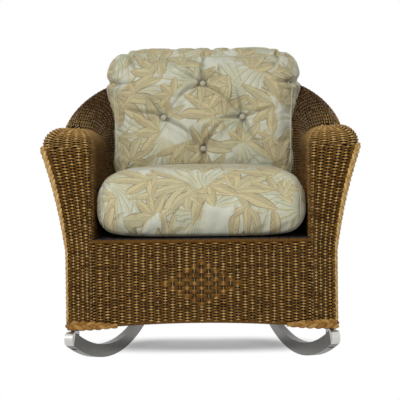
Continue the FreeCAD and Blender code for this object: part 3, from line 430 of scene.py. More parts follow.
# A copy of the strand finish with painted shade inside the shell and a painted highlight on the arms' tops
shell_wicker = strand_finish("shell_strand", *STRAND, inside=True)
plait_finish = strand_finish("plaited_strand", colour(90, 60, 25), colour(166, 130, 74),
                             colour(206, 176, 120), colour(222, 198, 148))
foot_finish = strand_finish("foot_strand", colour(60, 38, 14), colour(134, 94, 42),
                            colour(182, 142, 80), colour(205, 170, 112))


BRUSHED_GRAIN = (6.0, 0.25, 6.0)


def metal_finish(name, base, dark, rough, grain_scale, distance):
    """Drawn or brushed metal with fine grain and a few handling marks."""
    paint = Shader(name)
    place = paint.place()
    grain = paint.noise(paint.stretched(place, grain_scale), 60.0, 4.0, 0.7)
    clouds = paint.noise(place, 14.0, 4.0, 0.6)
    marks = paint.noise(paint.stretched(place, (1.0, 0.3, 1.0)), 160.0, 2.0).step(0.62, 0.78)
    body = paint.mix(grain * 0.5 + clouds * 0.5, base, dark)
    paint.feed(Base_Color=body, Roughness=rough + grain * 0.16 + marks * 0.1)
    paint.bump(grain, distance, 0.5)
    paint.constant(Metallic=1.0)
    return paint.material


def shade_finish():
    """Painted shade: a near-black sheet for the shadowed inside of the shell, seen between the strands."""
    paint = Shader("shell_shade")
    shade_mottle = paint.noise(paint.place(), 120.0, 3.0)
    paint.feed(Base_Color=paint.mix(shade_mottle, colour(14, 7, 3), colour(30, 17, 8)), Roughness=0.8 + shade_mottle * 0.15)
    paint.constant(Specular_IOR_Level=0.1)
    return paint.material


shade = shade_finish()
# One rail metal in two copies: darkened on the rail as painted shade in its reflections, near white on the
# nose caps as a painted highlight
rail_finish = metal_finish("brushed_rail", colour(98, 94, 86), colour(54, 50, 43), 0.26,
                           BRUSHED_GRAIN, 0.0002)
nose_highlight_finish = metal_finish("rail_end_painted_highlight", colour(226, 225, 222), colour(176, 174, 168), 0.2,
                           BRUSHED_GRAIN, 0.0002)
post_finish = metal_finish("polished_post", colour(190, 196, 204), colour(140, 146, 156), 0.12,
                           (1.0, 1.0, 8.0), 0.0001)
bolt_finish = metal_finish("plated_bolt", colour(150, 150, 148), colour(100, 100, 98), 0.3,
                           (2.0, 2.0, 2.0), 0.0001)


def coat_finish():
    """Brown powder coat over the frame tubes, with a fine orange peel."""
    paint = Shader("brown_powder_coat")
    place = paint.place()
    peel = paint.noise(place, 900.0, 2.0)
    clouds = paint.noise(place, 9.0, 3.0)
    body = paint.mix(clouds, colour(58, 38, 22), colour(84, 58, 36))
    paint.feed(Base_Color=body, Roughness=0.42 + peel * 0.2)
    paint.bump(peel, 0.0003, 0.5)
    return paint.material


def deck_finish():
    """Dark straps woven flat, over and under."""
    paint = Shader("woven_deck_strap")
    across, along, _ = paint.apart(paint.place())
    strap = 0.028
    first = (across / strap) % 1.0
    second = (along / strap) % 1.0
    turn = ((across / strap).floor() + (along / strap).floor()) % 2.0
    edge = abs(first - 0.5).most(abs(second - 0.5)).step(0.36, 0.5)
    grain = paint.noise(paint.place(), 500.0, 2.0)
    body = paint.mix(edge, paint.mix(turn * 0.5 + grain * 0.4, colour(34, 24, 16), colour(58, 42, 28)),
                     colour(8, 6, 4))
    paint.feed(Base_Color=body, Roughness=0.55 + grain * 0.2)
    arch = (first * math.pi).sin() * turn + (second * math.pi).sin() * (1.0 - turn)
    paint.bump(arch - edge, 0.002, 0.8)
    return paint.material


coat = coat_finish()
deck_strap = deck_finish()


# Leaf sprays of the print, back to front: tiles a metre, turn, shift of the tiles, reach as a share of
# a tile, leaves in a full circle, half width of a leaf, and how far the fan opens to either side
FRONDS_BEHIND = ((3.7, 0.9, 21.3, 0.84, 14.0, 0.052, 1.5), (4.4, 3.6, 27.1, 0.76, 12.0, 0.056, 1.4))
STRIPED_BLADES = ((4.0, 0.4, 3.1, 0.84, 30.0, 0.026, 1.15), (4.6, 2.3, 8.4, 0.80, 26.0, 0.030, 1.2),
                  (5.2, 4.2, 12.7, 0.76, 24.0, 0.032, 1.3))
BROAD_LEAVES = ((4.1, 1.2, 1.7, 0.72, 10.0, 0.092, 1.6), (4.9, 2.7, 5.9, 0.66, 9.0, 0.095, 1.4),
                (5.7, 5.3, 15.2, 0.56, 8.0, 0.085, 1.7), (6.6, 0.7, 33.4, 0.44, 8.0, 0.08, 1.3))
STEM_DROP = 0.24
THREADS = 2600.0


def printed_fabric(name, seed):
    """Pale woven cotton with a made-up print of broad leaves over striped fronds."""
    paint = Shader(name)
    cloth = paint.add("UVMap", {"uv_map": "print"})
    u, v, _ = paint.apart(cloth)
    drift = paint.noise(paint.together(u, v, seed), 9.0, 2.0)
    wander = paint.noise(paint.together(u + 7.3, v, seed), 9.0, 2.0)
    fray = paint.noise(cloth, 120.0, 2.0) * 0.004
    u = u + (drift - 0.5) * 0.03 + fray
    v = v + (wander - 0.5) * 0.03 - fray
    clouds = paint.noise(cloth, 14.0, 3.0).step(0.3, 0.75)
    body = paint.mix(clouds, colour(204, 205, 188), colour(184, 187, 167))

    def cell(scale, turn, shift, wobble):
        """A place in its tile, from the tile's middle moved and turned at random, and the tile's luck."""
        cosine, sine = math.cos(turn), math.sin(turn)
        a = (u * cosine + v * sine) * scale + shift
        b = (v * cosine - u * sine) * scale + shift * 1.7
        row = b.floor()
        a = a + (row % 2.0) * 0.5
        tile = paint.together(a.floor(), row, seed + shift)
        luck = paint.add("TexWhiteNoise", {"noise_dimensions": "3D"}, tile, out="Color")
        one, two, three = paint.apart(luck)
        x = (a % 1.0) - 0.5 + (one - 0.5) * wobble
        y = (b % 1.0) - 0.5 + (two - 0.5) * wobble
        spin = three * math.tau
        return x * spin.cos() + y * spin.sin(), y * spin.cos() - x * spin.sin(), one

    def spray(scale, turn, shift, reach, leaves, slim, open_to):
        """A fan of pointed leaves from one stem: what is leaf, its lines, and each leaf's own number."""
        x, y, luck = cell(scale, turn, shift, 0.3)
        y = y + STEM_DROP
        x = x + y * y * (luck - 0.5) * 1.2
        distance = (x * x + y * y).sqrt()
        angle = x.angle_to(y)
        beam = (angle * leaves + luck * 2.0) / math.tau
        off = ((beam % 1.0) - 0.5) * (math.tau / leaves)
        own = paint.add("TexWhiteNoise", {"noise_dimensions": "1D"}, W=beam.floor() + luck * 17.0,
                        out="Value")
        share = distance / (reach * (0.6 + own * 0.4))
        half = ((share.least(1.0) * math.pi).sin().most(0.0) ** 0.75 * slim).most(0.0015)
        side = abs(distance * off)
        ahead = 1.0 - abs(angle).step(open_to - 0.1, open_to + 0.1)
        return SimpleNamespace(
            inside=(1.0 - (side / half).step(0.9, 1.0)) * (ahead * (1.0 - share.step(0.96, 1.0))),
            outline=(side / half).step(0.72, 0.86), rib=1.0 - side.step(0.001, 0.004),
            veins=((distance - side * 1.6) * 200.0).sin().step(-0.1, 0.7),
            near=(distance * off / half).step(-0.25, 0.25), own=own)

    rough = paint.noise(cloth, 46.0, 4.0, 0.7)
    for leaf in [spray(*sizes) for sizes in FRONDS_BEHIND]:
        pale = paint.mix(leaf.near, colour(176, 177, 148), colour(190, 188, 160))
        pale = paint.mix(leaf.veins * 0.5, pale, colour(200, 200, 180))
        pale = paint.mix(leaf.outline * 0.5, pale, colour(168, 164, 128))
        body = paint.mix(leaf.inside * 0.8, body, pale)
    for leaf in [spray(*sizes) for sizes in STRIPED_BLADES]:
        sage = paint.mix(leaf.own, colour(146, 152, 116), colour(172, 162, 110))
        sage = paint.mix(leaf.near * 0.5, sage, colour(206, 206, 182))
        sage = paint.mix(leaf.outline * 0.4, sage, colour(142, 142, 106))
        body = paint.mix(leaf.inside * 0.85, body, sage)
        body = paint.mix(leaf.inside * leaf.rib * 0.6, body, colour(212, 212, 194))
    for leaf in [spray(*sizes) for sizes in BROAD_LEAVES]:
        tan = paint.mix(leaf.near, colour(148, 124, 50), colour(182, 162, 94))
        tan = paint.mix(leaf.veins * 0.85 * rough.step(0.15, 0.5), tan, colour(206, 200, 168))
        tan = paint.mix(leaf.own.step(0.5, 0.9) * 0.4, tan, colour(172, 172, 134))
        tan = paint.mix(rough.step(0.5, 0.75) * 0.35, tan, colour(126, 104, 38))
        tan = paint.mix((leaf.outline * 0.85).most(leaf.rib * 0.75), tan, colour(104, 82, 26))
        body = paint.mix(leaf.inside * 0.96, body, tan)
    # Painted shade in the back cushion's folds and in rings round its buttons
    body = paint.mix(paint.value("fold_shade") * 0.8, body, colour(78, 74, 56))
    thread = (u * THREADS).sin() * (v * THREADS).sin()
    slub = paint.noise(cloth, 240.0, 2.0)
    worn = paint.mix((slub * 0.35).least(1.0), body, colour(222, 218, 204))
    paint.feed(Base_Color=worn, Roughness=0.84 + slub * 0.1)
    paint.bump(thread * 0.5 + slub, 0.0004, 0.35)
    paint.constant(Sheen_Weight=0.15, Sheen_Roughness=0.5, Specular_IOR_Level=0.2)
    return paint.material


fabric = printed_fabric("leaf_print_cotton", 2.0)


def welt_finish():
    """The covers' pale piping and buttons: the same cotton without its leaves."""
    paint = Shader("plain_cotton_welt")
    place = paint.place()
    slub = paint.noise(place, 500.0, 2.0)
    clouds = paint.noise(place, 30.0, 3.0)
    body = paint.mix(clouds * 0.7 + slub * 0.3, colour(166, 162, 138), colour(194, 190, 168))
    paint.feed(Base_Color=body, Roughness=0.82 + slub * 0.12)
    paint.bump(slub, 0.0005, 0.6)
    paint.constant(Sheen_Weight=0.15, Specular_IOR_Level=0.2)
    return paint.material


welt = welt_finish()

# The shell's lines, repeated from the part's source in metres

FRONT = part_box("column_plait_right")[0].y
BARREL = FRONT + 0.38
DECK_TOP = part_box("seat_deck")[1].z
PANEL = FRONT + 0.0163
ROLL = 0.1
PLAN_POWER = 2.2
# A line's half width, its rear reach, and its height at the arms and at the back
RIM = (0.449, 0.474, 0.652, 0.905)


def oval(half_width, rear_reach, angle):
    """A rounded plan line's distance from the barrel's axis."""
    across = (np.abs(np.cos(angle)) / half_width) ** PLAN_POWER
    along = (np.abs(np.sin(angle)) / rear_reach) ** PLAN_POWER
    return (across + along) ** (-1 / PLAN_POWER)


def ramp(share):
    """A share's climb, level at first and then steady."""
    past = share + 0.3
    return (past + np.hypot(past, 0.2)) / 2


def rise(angle):
    """How far the rim has climbed from the arms, 0, to the back, 1."""
    share = oval(RIM[0], RIM[1], angle) * np.sin(angle) / RIM[1]
    climbed = (ramp(share) - ramp(0.0)) / (ramp(1.0) - ramp(0.0))
    return np.maximum(0, climbed) ** 0.85


def line_at(line, angle):
    """Distance from the axis and height of one shell line."""
    half_width, rear_reach, low, high = line
    return np.array([oval(half_width, rear_reach, angle), low + (high - low) * rise(angle)])


def around(flat, angle):
    """Flat points of distance and height, set at an angle round the axis."""
    return np.stack([flat[..., 0] * np.cos(angle), BARREL + flat[..., 0] * np.sin(angle), flat[..., 1]], -1)


def arc(start, end, share, count):
    """Points of an arc that rises from its chord by a share of its length, start left out."""
    chord = end - start
    length = np.hypot(*chord)
    rise_by = share * length
    left = np.array([-chord[1], chord[0]]) / length
    radius = (length ** 2 / 4 + rise_by ** 2) / (2 * rise_by)
    half = math.asin(min(1.0, length / 2 / radius))
    turns = np.linspace(-half, half, count + 1)[1:]
    centre = (start + end) / 2 + left * (rise_by - radius)
    return centre + radius * (np.cos(turns)[:, None] * left + np.sin(turns)[:, None] * chord / length)


def spread(points, count):
    """Points at even steps along a line, and the line's length."""
    steps = np.concatenate([[0], np.cumsum(np.linalg.norm(np.diff(points, axis=0), axis=1))])
    at = np.linspace(0, steps[-1], count)
    return np.stack([np.interp(at, steps, column) for column in points.T], -1), steps[-1]


DECK_LINE = (0.310, 0.235, DECK_TOP, DECK_TOP)
SHOULDER_LINE = (0.310, 0.385, 0.650, 0.840)
CREST_INNER_LINE = (0.370, 0.425, 0.712, 0.905)
CREST_OUTER_LINE = (0.412, 0.455, 0.712, 0.930)
KNEE_LINE = (0.383, 0.385, 0.360, 0.360)
SHELL_FOOT = 0.150
FOOT_LINE = (0.383, 0.385, SHELL_FOOT, SHELL_FOOT)
# The rolls' bulge as a share of their chord, and the outer wall's in metres
ARM_BULGE, BACK_BULGE = 0.207, 0.10
WALL_BULGE = 0.008
# How the inner and the outer face end at the rim, as (out, up)
RIM_LIP, RIM_TUCK = np.array([0.002, 0.004]), np.array([0.001, -0.004])


def inner_profile(angle):
    """The shell's inner line from the deck, over the roll and down to the rim."""
    lines = (DECK_LINE, SHOULDER_LINE, CREST_INNER_LINE, CREST_OUTER_LINE, RIM)
    deck, shoulder, crest_in, crest_out, rim = [line_at(line, angle) for line in lines]
    bulge = ARM_BULGE + (BACK_BULGE - ARM_BULGE) * rise(angle)
    return np.concatenate([[deck, shoulder], arc(shoulder, crest_in, bulge, 10), [crest_out],
                           arc(crest_out, rim + RIM_LIP, bulge, 8)])


def outer_profile(angle):
    """The shell's outer line from its foot up to the rim."""
    foot, knee, rim = [line_at(line, angle) for line in (FOOT_LINE, KNEE_LINE, RIM)]
    top = rim + RIM_TUCK
    return np.concatenate([[foot, knee], arc(knee, top, WALL_BULGE / np.hypot(*(top - knee)), 12)])


# Weaving


def grid_ways(grid):
    """Outward ways over a grid of points, by rows then columns."""
    along = np.gradient(grid, axis=1)
    up = np.gradient(grid, axis=0)
    return unit(np.cross(along, up))


# The strands' middles and the dark sheet behind them, as depths under the shell's face
SINK, LINER, WEAVE_DEPTH = 0.0030, 0.0050, 0.0036
# An upright stake's lift, its radius in millimetres, and the tint that gives it a stake's colour
STAKE = {"lift": -0.15, "girth": 1.6, "tint": 2.0}
# The least lift of strand ends that would else show the painted dip shade beside another panel
END_LIFT = 0.1


def lined(name, grid, ways):
    """A dark sheet behind the strands, as the shadowed inside of the shell."""
    rows = list(range(0, grid.shape[0], 4)) + [grid.shape[0] - 1]
    columns = list(range(0, grid.shape[1], 3)) + [grid.shape[1] - 1]
    sheet = (grid - ways * LINER)[np.ix_(rows, columns)]
    high, wide = sheet.shape[:2]
    starts = [row * wide + column for row in range(high - 1) for column in range(wide - 1)]
    faces = [(start, start + 1, start + wide + 1, start + wide) for start in starts]
    up, along = sheet[1, 0] - sheet[0, 0], sheet[0, 1] - sheet[0, 0]
    if np.dot(np.cross(along, up), ways[0, 0]) < 0:
        faces = [face[::-1] for face in faces]
    liner = made_mesh(name, sheet.reshape(-1, 3), faces=faces)
    surfaced(liner, shade)
    return placed(liner)


def plain_lift(rows, stakes, steps, middle=0.0):
    """Each row's lift in plain weave, over one stake and under the next."""
    phase = np.arange(stakes * steps + 1) / steps - middle
    return np.stack([np.cos(math.pi * (phase + row)) for row in range(rows)])


def woven(name, grid, steps, finish, replaced, flip=False, lift=None, starts=None, thick=480, framed=True,
          raised=(False, False)):
    """Rows of strand over and under upright stakes, on a grid of rows by steps."""
    ways = -grid_ways(grid) if flip else grid_ways(grid)
    lined(name + "_liner", grid, ways)
    grid = grid - ways * SINK
    rows, columns = grid.shape[:2]
    stakes = (columns - 1) // steps
    lift = plain_lift(rows, stakes, steps) if lift is None else lift
    starts = np.zeros(rows, int) if starts is None else starts
    pitch = np.linalg.norm(np.gradient(grid, axis=0), axis=-1)
    strands = []
    for row, begin in enumerate(starts):
        for ends, up in zip((slice(begin, begin + 2), slice(-2, None)), raised):
            if up:
                lift[row, ends] = np.maximum(lift[row, ends], END_LIFT)
        strands.append({"points": grid[row, begin:], "ways": ways[row, begin:], "lift": lift[row, begin:],
                        "girth": np.clip(pitch[row, begin:] * thick, 0.7, 2.5), "tint": chance.random()})
    for stake in range(stakes + 1) if framed else range(1, stakes):
        column = stake * steps
        used = [row for row in range(0, rows, 3) if column >= starts[row]]
        strands.append({"points": grid[used, column], "ways": ways[used, column], **STAKE})
    lines = strand_lines(name + "_lines", strands)
    return built(name, lines, WEAVE, strand_sizes(WEAVE_DEPTH, 5), finish, replaced)


def barrel_grid(profile, first, last, rows, stakes, steps):
    """A grid round the barrel between two angles."""
    angles = np.linspace(first, last, stakes * steps + 1)
    return np.stack([around(spread(profile(angle), rows)[0], angle) for angle in angles], 1)


# Each face of the back in two halves: rows, stakes in a half, and steps from stake to stake
for face, profile, (rows, stakes, steps), looks in (
        ("back_inner", inner_profile, (124, 30, 4), {"finish": shell_wicker, "flip": True, "thick": 350}),
        ("back_outer", outer_profile, (144, 37, 2), {"finish": wicker})):
    for side_name, first, raised in (("right", 0, (True, False)), ("left", QUARTER, (False, True))):
        woven(face + "_weave_" + side_name, barrel_grid(profile, first, first + QUARTER, rows, stakes, steps),
              steps, replaced=(face + "_skin",) if side_name == "right" else (), raised=raised, **looks)

# The arm's foot and top as heights, its inner wall, its corners' radius, and its rows of strand below
# the roll and over it
ARM_FOOT, CREST, ARM_INSIDE, CORNER = 0.153, 0.712, 0.310, 0.020
UPRIGHT_ROWS, ROLLED_ROWS = 108, 37
WALL_STAKES, FRONT_STAKES, RING_STEPS = 21, 6, 4
WALL_COLUMNS = WALL_STAKES * RING_STEPS
CORNER_TURNS = np.linspace(0, QUARTER, 7)[1:]


def mirrored_grid(grid, side):
    """The grid on the chair's other side."""
    return grid * np.array([side, 1, 1])


def panel_grid(across, depth, height):
    """A grid of points from numbers and rows or columns of them."""
    return np.stack(np.broadcast_arrays(across, depth, height), -1)


def ring_levels():
    """Each ring's height on the arm's front, and how far back it has rolled there."""
    turn = CREST - ROLL
    quarter = np.linspace(0, QUARTER * 0.985, ROLLED_ROWS + 1)[1:]
    fronts = np.concatenate([np.linspace(ARM_FOOT, turn, UPRIGHT_ROWS), turn + ROLL * np.sin(quarter)])
    backs = np.concatenate([np.zeros(UPRIGHT_ROWS), ROLL * (1 - np.cos(quarter))])
    return fronts, backs


def arm_ring_grid():
    """The right arm's level rings: from the barrel along the outer roll, round the front, and back inside."""
    inner, wall = inner_profile(0.0), outer_profile(0.0)
    peak = int(np.argmax(inner[:, 1]))
    level_top = inner[peak, 1] == inner[peak + 1, 1]
    roll, _ = spread(inner[peak + level_top:][::-1], 200)
    climb, _ = spread(inner[:peak + 1], 400)
    climb = climb[climb[:, 1] > DECK_TOP + 0.001]
    fronts, backs = ring_levels()
    first_rolled = int(np.searchsorted(fronts, RIM[2] + 0.004))
    inside, _ = spread(climb[np.searchsorted(climb[:, 1], CREST - ROLL):], ROLLED_ROWS + 1)
    outside, _ = spread(roll, len(fronts) - first_rolled)
    rows, starts = [], []
    for row, (level, back) in enumerate(zip(fronts, backs)):
        rolled = row >= first_rolled
        near = inside[row - UPRIGHT_ROWS + 1] if row >= UPRIGHT_ROWS else np.array([ARM_INSIDE, level])
        face = PANEL + back
        if rolled:
            far = outside[row - first_rolled]
            line = [(far[0], y, far[1]) for y in np.linspace(BARREL, face + CORNER, 24)]
            line += [(far[0] - CORNER * (1 - math.cos(turn)), face + CORNER * (1 - math.sin(turn)),
                      far[1] + (level - far[1]) * (turn / QUARTER)) for turn in CORNER_TURNS]
            outer_end = far[0] - CORNER
        else:
            outer_end = np.interp(level, wall[:, 1], wall[:, 0]) - 0.006
            line = [(outer_end, face, level)]
        line += [(x, face, level) for x in np.linspace(outer_end, near[0] + CORNER, 12)[1:]]
        line += [(near[0] + CORNER * (1 - math.sin(turn)), face + CORNER * (1 - math.cos(turn)),
                  level + (near[1] - level) * (turn / QUARTER)) for turn in CORNER_TURNS]
        line += [(near[0], y, near[1]) for y in np.linspace(face + CORNER, BARREL, 30)[1:]]
        rows.append(ring_columns(np.array(line), rolled, face))
        starts.append(0 if rolled else WALL_COLUMNS)
    return np.stack(rows), np.array(starts)


def ring_columns(line, rolled, face):
    """A ring's points at its stakes: outer wall, front and inner wall in even steps of their own."""
    steps = np.concatenate([[0], np.cumsum(np.linalg.norm(np.diff(line, axis=0), axis=1))])
    front = np.nonzero(line[:, 1] <= face + CORNER + 1e-6)[0]
    begin, end = steps[front[0]], steps[front[-1]]
    outer = np.linspace(0, begin if rolled else 0, WALL_COLUMNS + 1)[:-1]
    middle = np.linspace(begin, end, FRONT_STAKES * RING_STEPS + 1)[:-1]
    inner = np.linspace(end, steps[-1], WALL_COLUMNS + 1)
    at = np.concatenate([outer, middle, inner])
    return np.stack([np.interp(at, steps, line[:, axis]) for axis in range(3)], -1)


TOP_ROWS, TOP_STAKES, TOP_STEPS = 11, 16, 3
OUTSIDE_ROWS, OUTSIDE_STAKES, OUTSIDE_STEPS = 124, 20, 2


def arm_top_grid():
    """The level strip along the arm's top, between its inner and outer rolls."""
    depth = np.linspace(PANEL + ROLL * 0.96, BARREL, TOP_STAKES * TOP_STEPS + 1)
    return panel_grid(np.linspace(0.3705, 0.4115, TOP_ROWS)[:, None], depth, CREST)


def arm_top_lift():
    """Plain weave whose ends stay up where they meet the rolls."""
    lift = plain_lift(TOP_ROWS, TOP_STAKES, TOP_STEPS)
    for ends in (slice(0, 3), slice(-3, None)):
        lift[:, ends] = np.maximum(lift[:, ends], END_LIFT)
    return lift


def arm_wall_grid():
    """The arm's outer wall."""
    profile = spread(outer_profile(0.0), OUTSIDE_ROWS)[0]
    depth = np.linspace(PANEL - 0.005, BARREL, OUTSIDE_STAKES * OUTSIDE_STEPS + 1)
    return panel_grid(profile[:, None, 0], depth, profile[:, None, 1])


rings, ring_starts = arm_ring_grid()
for side_name, side in SIDES:
    woven("arm_ring_weave_" + side_name, mirrored_grid(rings, side), RING_STEPS, shell_wicker,
          ("arm_skin_" + side_name,), flip=side > 0, starts=ring_starts, raised=(True, True))
    woven("arm_top_weave_" + side_name, mirrored_grid(arm_top_grid(), side), TOP_STEPS, shell_wicker, (),
          flip=side > 0, lift=arm_top_lift())
    woven("arm_wall_weave_" + side_name, mirrored_grid(arm_wall_grid(), side), OUTSIDE_STEPS, wicker,
          ("side_skin_" + side_name,), flip=side < 0, raised=(True, True))

APRON_ROWS, APRON_STAKES, APRON_STEPS = 57, 30, 4
# The apron's half width at the weave and at its binding, and how far its foot arches up
APRON_HALF, FOOT_HALF, FOOT_ARCH = 0.3095, 0.316, 0.014
# The diamond's first row, its bands of three rows, its widest band's bumps, and its strands' lifts
DIAMOND_FOOT, DIAMOND_BANDS, DIAMOND_BUMPS = 11, 11, 6
OVER_DEPTH, UNDER_DEPTH = 0.82, 0.52


def apron_lift():
    """Plain weave, with a diamond in the middle whose strands go over and under three at a time."""
    lift = plain_lift(APRON_ROWS, APRON_STAKES, APRON_STEPS, APRON_STAKES / 2)
    phase = np.arange(APRON_STAKES * APRON_STEPS + 1) / APRON_STEPS - APRON_STAKES / 2
    for band in range(DIAMOND_BANDS):
        bumps = DIAMOND_BUMPS - abs(band - DIAMOND_BANDS // 2)
        inside = np.abs(phase) <= bumps - 0.5
        level = np.cos(math.pi * (phase - (bumps - 1)))[inside]
        foot = DIAMOND_FOOT + 3 * band
        lift[foot:foot + 3, inside] = np.where(level < 0, UNDER_DEPTH, OVER_DEPTH) * level
    return lift


def apron_grid():
    """The panel under the seat, with its foot arched a little."""
    across = np.linspace(-APRON_HALF, APRON_HALF, APRON_STAKES * APRON_STEPS + 1)
    foot = 0.146 + FOOT_ARCH * (1 - (across / FOOT_HALF) ** 2)
    shares = np.linspace(0, 1, APRON_ROWS)[:, None]
    return panel_grid(across, FRONT + 0.0226, foot + (DECK_TOP - 0.012 - foot) * shares)


woven("apron_weave", apron_grid(), APRON_STEPS, wicker, ("apron_skin",), lift=apron_lift(), framed=False)

# Plaits and bindings

EDGE = plait_sizes(0.0042, 0.0046, 0.0026, 0.042)
BASE_EDGE = plait_sizes(0.005, 0.0055, 0.003, 0.05)
FOOT_BRAID = plait_sizes(0.0066, 0.0082, 0.0050, 0.07, sides=10)
PLAIT_STEP = 0.0035
# How wide a plait is along its line, as shares of its sizes
EVEN_GIRTH, COLUMN_GIRTH = (1, 1), (0.5, 0.5, 0.55, 0.8, 1, 1)
FOOT_GIRTH = (0.95, 1.0, 0.92, 0.8, 0.6, 0.4)
# The lines of the plaits up the arms' fronts and under them
COLUMN_LEVELS = np.linspace(0.160, 0.650, 40)
FOOT_ACROSS = np.array([0.384, 0.376, 0.348, 0.322, 0.285, 0.240])
FOOT_DEPTH = FRONT + np.array([0.018, 0.017, 0.0135, 0.0105, 0.0125, 0.0155])
FOOT_LEVEL = 0.149 - np.array([0, 0, 0, 0, 0.001, 0.002])


def path_length(points):
    """A line's length."""
    return np.linalg.norm(np.diff(np.asarray(points, float), axis=0), axis=1).sum()


def evenly(values, count):
    """Numbers or vectors along a line, read at even steps."""
    values = np.asarray(values, float)
    places, at = np.linspace(0, 1, len(values)), np.linspace(0, 1, count)
    if values.ndim == 1:
        return np.interp(at, places, values)
    return np.stack([np.interp(at, places, column) for column in values.T], -1)


def ribbon(name, points, ways, girth, finish, replaced, sizes):
    """A plait along a line of points. Its outward way is one for all, or one for each point."""
    points, length = spread(np.asarray(points, float), int(np.ceil(path_length(points) / PLAIT_STEP)))
    count = len(points)
    heading = unit(np.gradient(points, axis=0))
    ways = evenly(ways, count) if np.ndim(ways) == 2 else np.asarray(ways, float)
    beside = unit(np.cross(heading, ways))
    lines = made_mesh(name + "_line", points, [(step, step + 1) for step in range(count - 1)])
    attribute(lines, "way_out", unit(np.cross(beside, heading)))
    attribute(lines, "beside", beside)
    attribute(lines, "run", np.linspace(0, length, count))
    attribute(lines, "girth", evenly(girth, count))
    attribute(lines, "lift", np.full(count, 0.5))
    return built(name, lines, PLAIT, sizes, finish, replaced)


def edge_line(node, reach):
    """Back through the middle of a node's box, from a reach in front of it."""
    low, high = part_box(node)
    middle = (low + high) / 2
    return [(middle.x, low.y - reach, middle.z), (middle.x, high.y, middle.z)]


angles = np.linspace(0, math.pi, 241)
outward = np.stack([np.cos(angles), np.sin(angles), np.zeros(len(angles))], -1)
rim_points = [around(line_at(RIM, angle), angle) for angle in angles]
ribbon("arch_edge_plait", rim_points, outward, EVEN_GIRTH, plait_finish, ("arch_plait",), EDGE)
wall = outer_profile(0.0)
column_across = np.interp(COLUMN_LEVELS, wall[:, 1], wall[:, 0]) - 0.004
column_across += np.interp(COLUMN_LEVELS, [0.16, 0.40, 0.56], [0.0022, 0.0022, 0])
for side_name, side in SIDES:
    ribbon("arm_edge_plait_" + side_name, edge_line("arm_plait_" + side_name, 0.006), (side, 0, 0),
           EVEN_GIRTH, plait_finish, ("arm_plait_" + side_name,), EDGE)
    column = panel_grid(side * column_across, FRONT + 0.009, COLUMN_LEVELS)
    ribbon("column_edge_plait_" + side_name, column, (side * 0.5, -0.85, 0),
           COLUMN_GIRTH, plait_finish, ("column_plait_" + side_name,), EDGE)
    foot, _ = spread(panel_grid(side * FOOT_ACROSS, FOOT_DEPTH, FOOT_LEVEL), 40)
    ribbon("foot_plait_" + side_name + "_braid", foot, (0, -0.85, 0.5),
           FOOT_GIRTH, foot_finish, ("foot_plait_" + side_name,), FOOT_BRAID)
    ribbon("base_edge_plait_" + side_name, edge_line("base_plait_" + side_name, 0.02), (side, 0, 0),
           EVEN_GIRTH, foot_finish, ("base_plait_" + side_name,), BASE_EDGE)
low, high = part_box("base_plait_back")
base_points = [around(np.array([oval(0.373, 0.375, angle), (low.z + high.z) / 2]), angle) for angle in angles]
ribbon("base_edge_plait_back", base_points, outward, EVEN_GIRTH, foot_finish, ("base_plait_back",), BASE_EDGE)

BINDING_RADIUS, BINDING_PITCH, BINDING_STRAND = 0.006, 0.0042, 0.0021
TURN_STEPS = 8


def binding(name, points, replaced):
    """One strand wound closely round a hidden rod."""
    turns = path_length(points) / BINDING_PITCH
    count = int(turns * TURN_STEPS)
    line, _ = spread(np.asarray(points, float), count)
    heading = unit(np.gradient(line, axis=0))
    beside = unit(np.cross(heading, np.array([0.0, 0.0, 1.0])))
    above = np.cross(beside, heading)
    turn = np.linspace(0, turns * math.tau, count)[:, None]
    ways = beside * np.cos(turn) + above * np.sin(turn)
    rod = BINDING_RADIUS - BINDING_STRAND
    wound = {"points": line + ways * rod, "ways": ways, "lift": 0.0, "girth": BINDING_STRAND * 1000,
             "tint": 0.5}
    # The hidden rod's strand is fully dipped, so it takes the strand finish's painted dip shade
    core = {"points": line[::TURN_STEPS], "ways": ways[::TURN_STEPS], "lift": -1.0, "girth": rod * 1000,
            "tint": 0.2}
    lines = strand_lines(name + "_lines", [wound, core])
    return built(name, lines, WEAVE, strand_sizes(0.0, 6), wicker, replaced)


low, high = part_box("apron_top_binding")
middle = (low + high) / 2
top_line = [(low.x, middle.y, middle.z), (high.x, middle.y, middle.z)]
binding("apron_top_wrap", top_line, ("apron_top_binding",))
low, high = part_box("apron_foot_binding")
foot_line = [(x, (low.y + high.y) / 2, low.z + BINDING_RADIUS + 0.0138 * (1 - (x / FOOT_HALF) ** 2))
             for x in np.linspace(-FOOT_HALF, FOOT_HALF, 41)]
binding("apron_foot_wrap", foot_line, ("apron_foot_binding",))

# The frame's own nodes keep their shapes and get detailed finishes

TUBES_AND_BARS = ("front_leg", "rear_leg", "side_seat", "side_stretcher", "arm_tube", "front_seat",
                  "front_stretcher", "rear_seat", "rear_stretcher", "back_hoop", "back_stile", "deck_bar")


def refinish(begins, finish):
    """Gives a finish to the nodes whose names begin so."""
    for name in nodes:
        if name.startswith(begins):
            materials = nodes[name].data.materials
            if not len(materials):
                materials.append(finish)
            for place in range(len(materials)):
                materials[place] = finish


refinish("runner_", rail_finish)
refinish("runner_nose", nose_highlight_finish)
refinish("runner_bolts", bolt_finish)
refinish(("front_post", "rear_post"), post_finish)
refinish(TUBES_AND_BARS, coat)
refinish("seat_deck", deck_strap)

# Cushions: each cover starts as a box of cloth panels, is blown up as stuffed cloth and
# then gets its creases, piping and buttons.


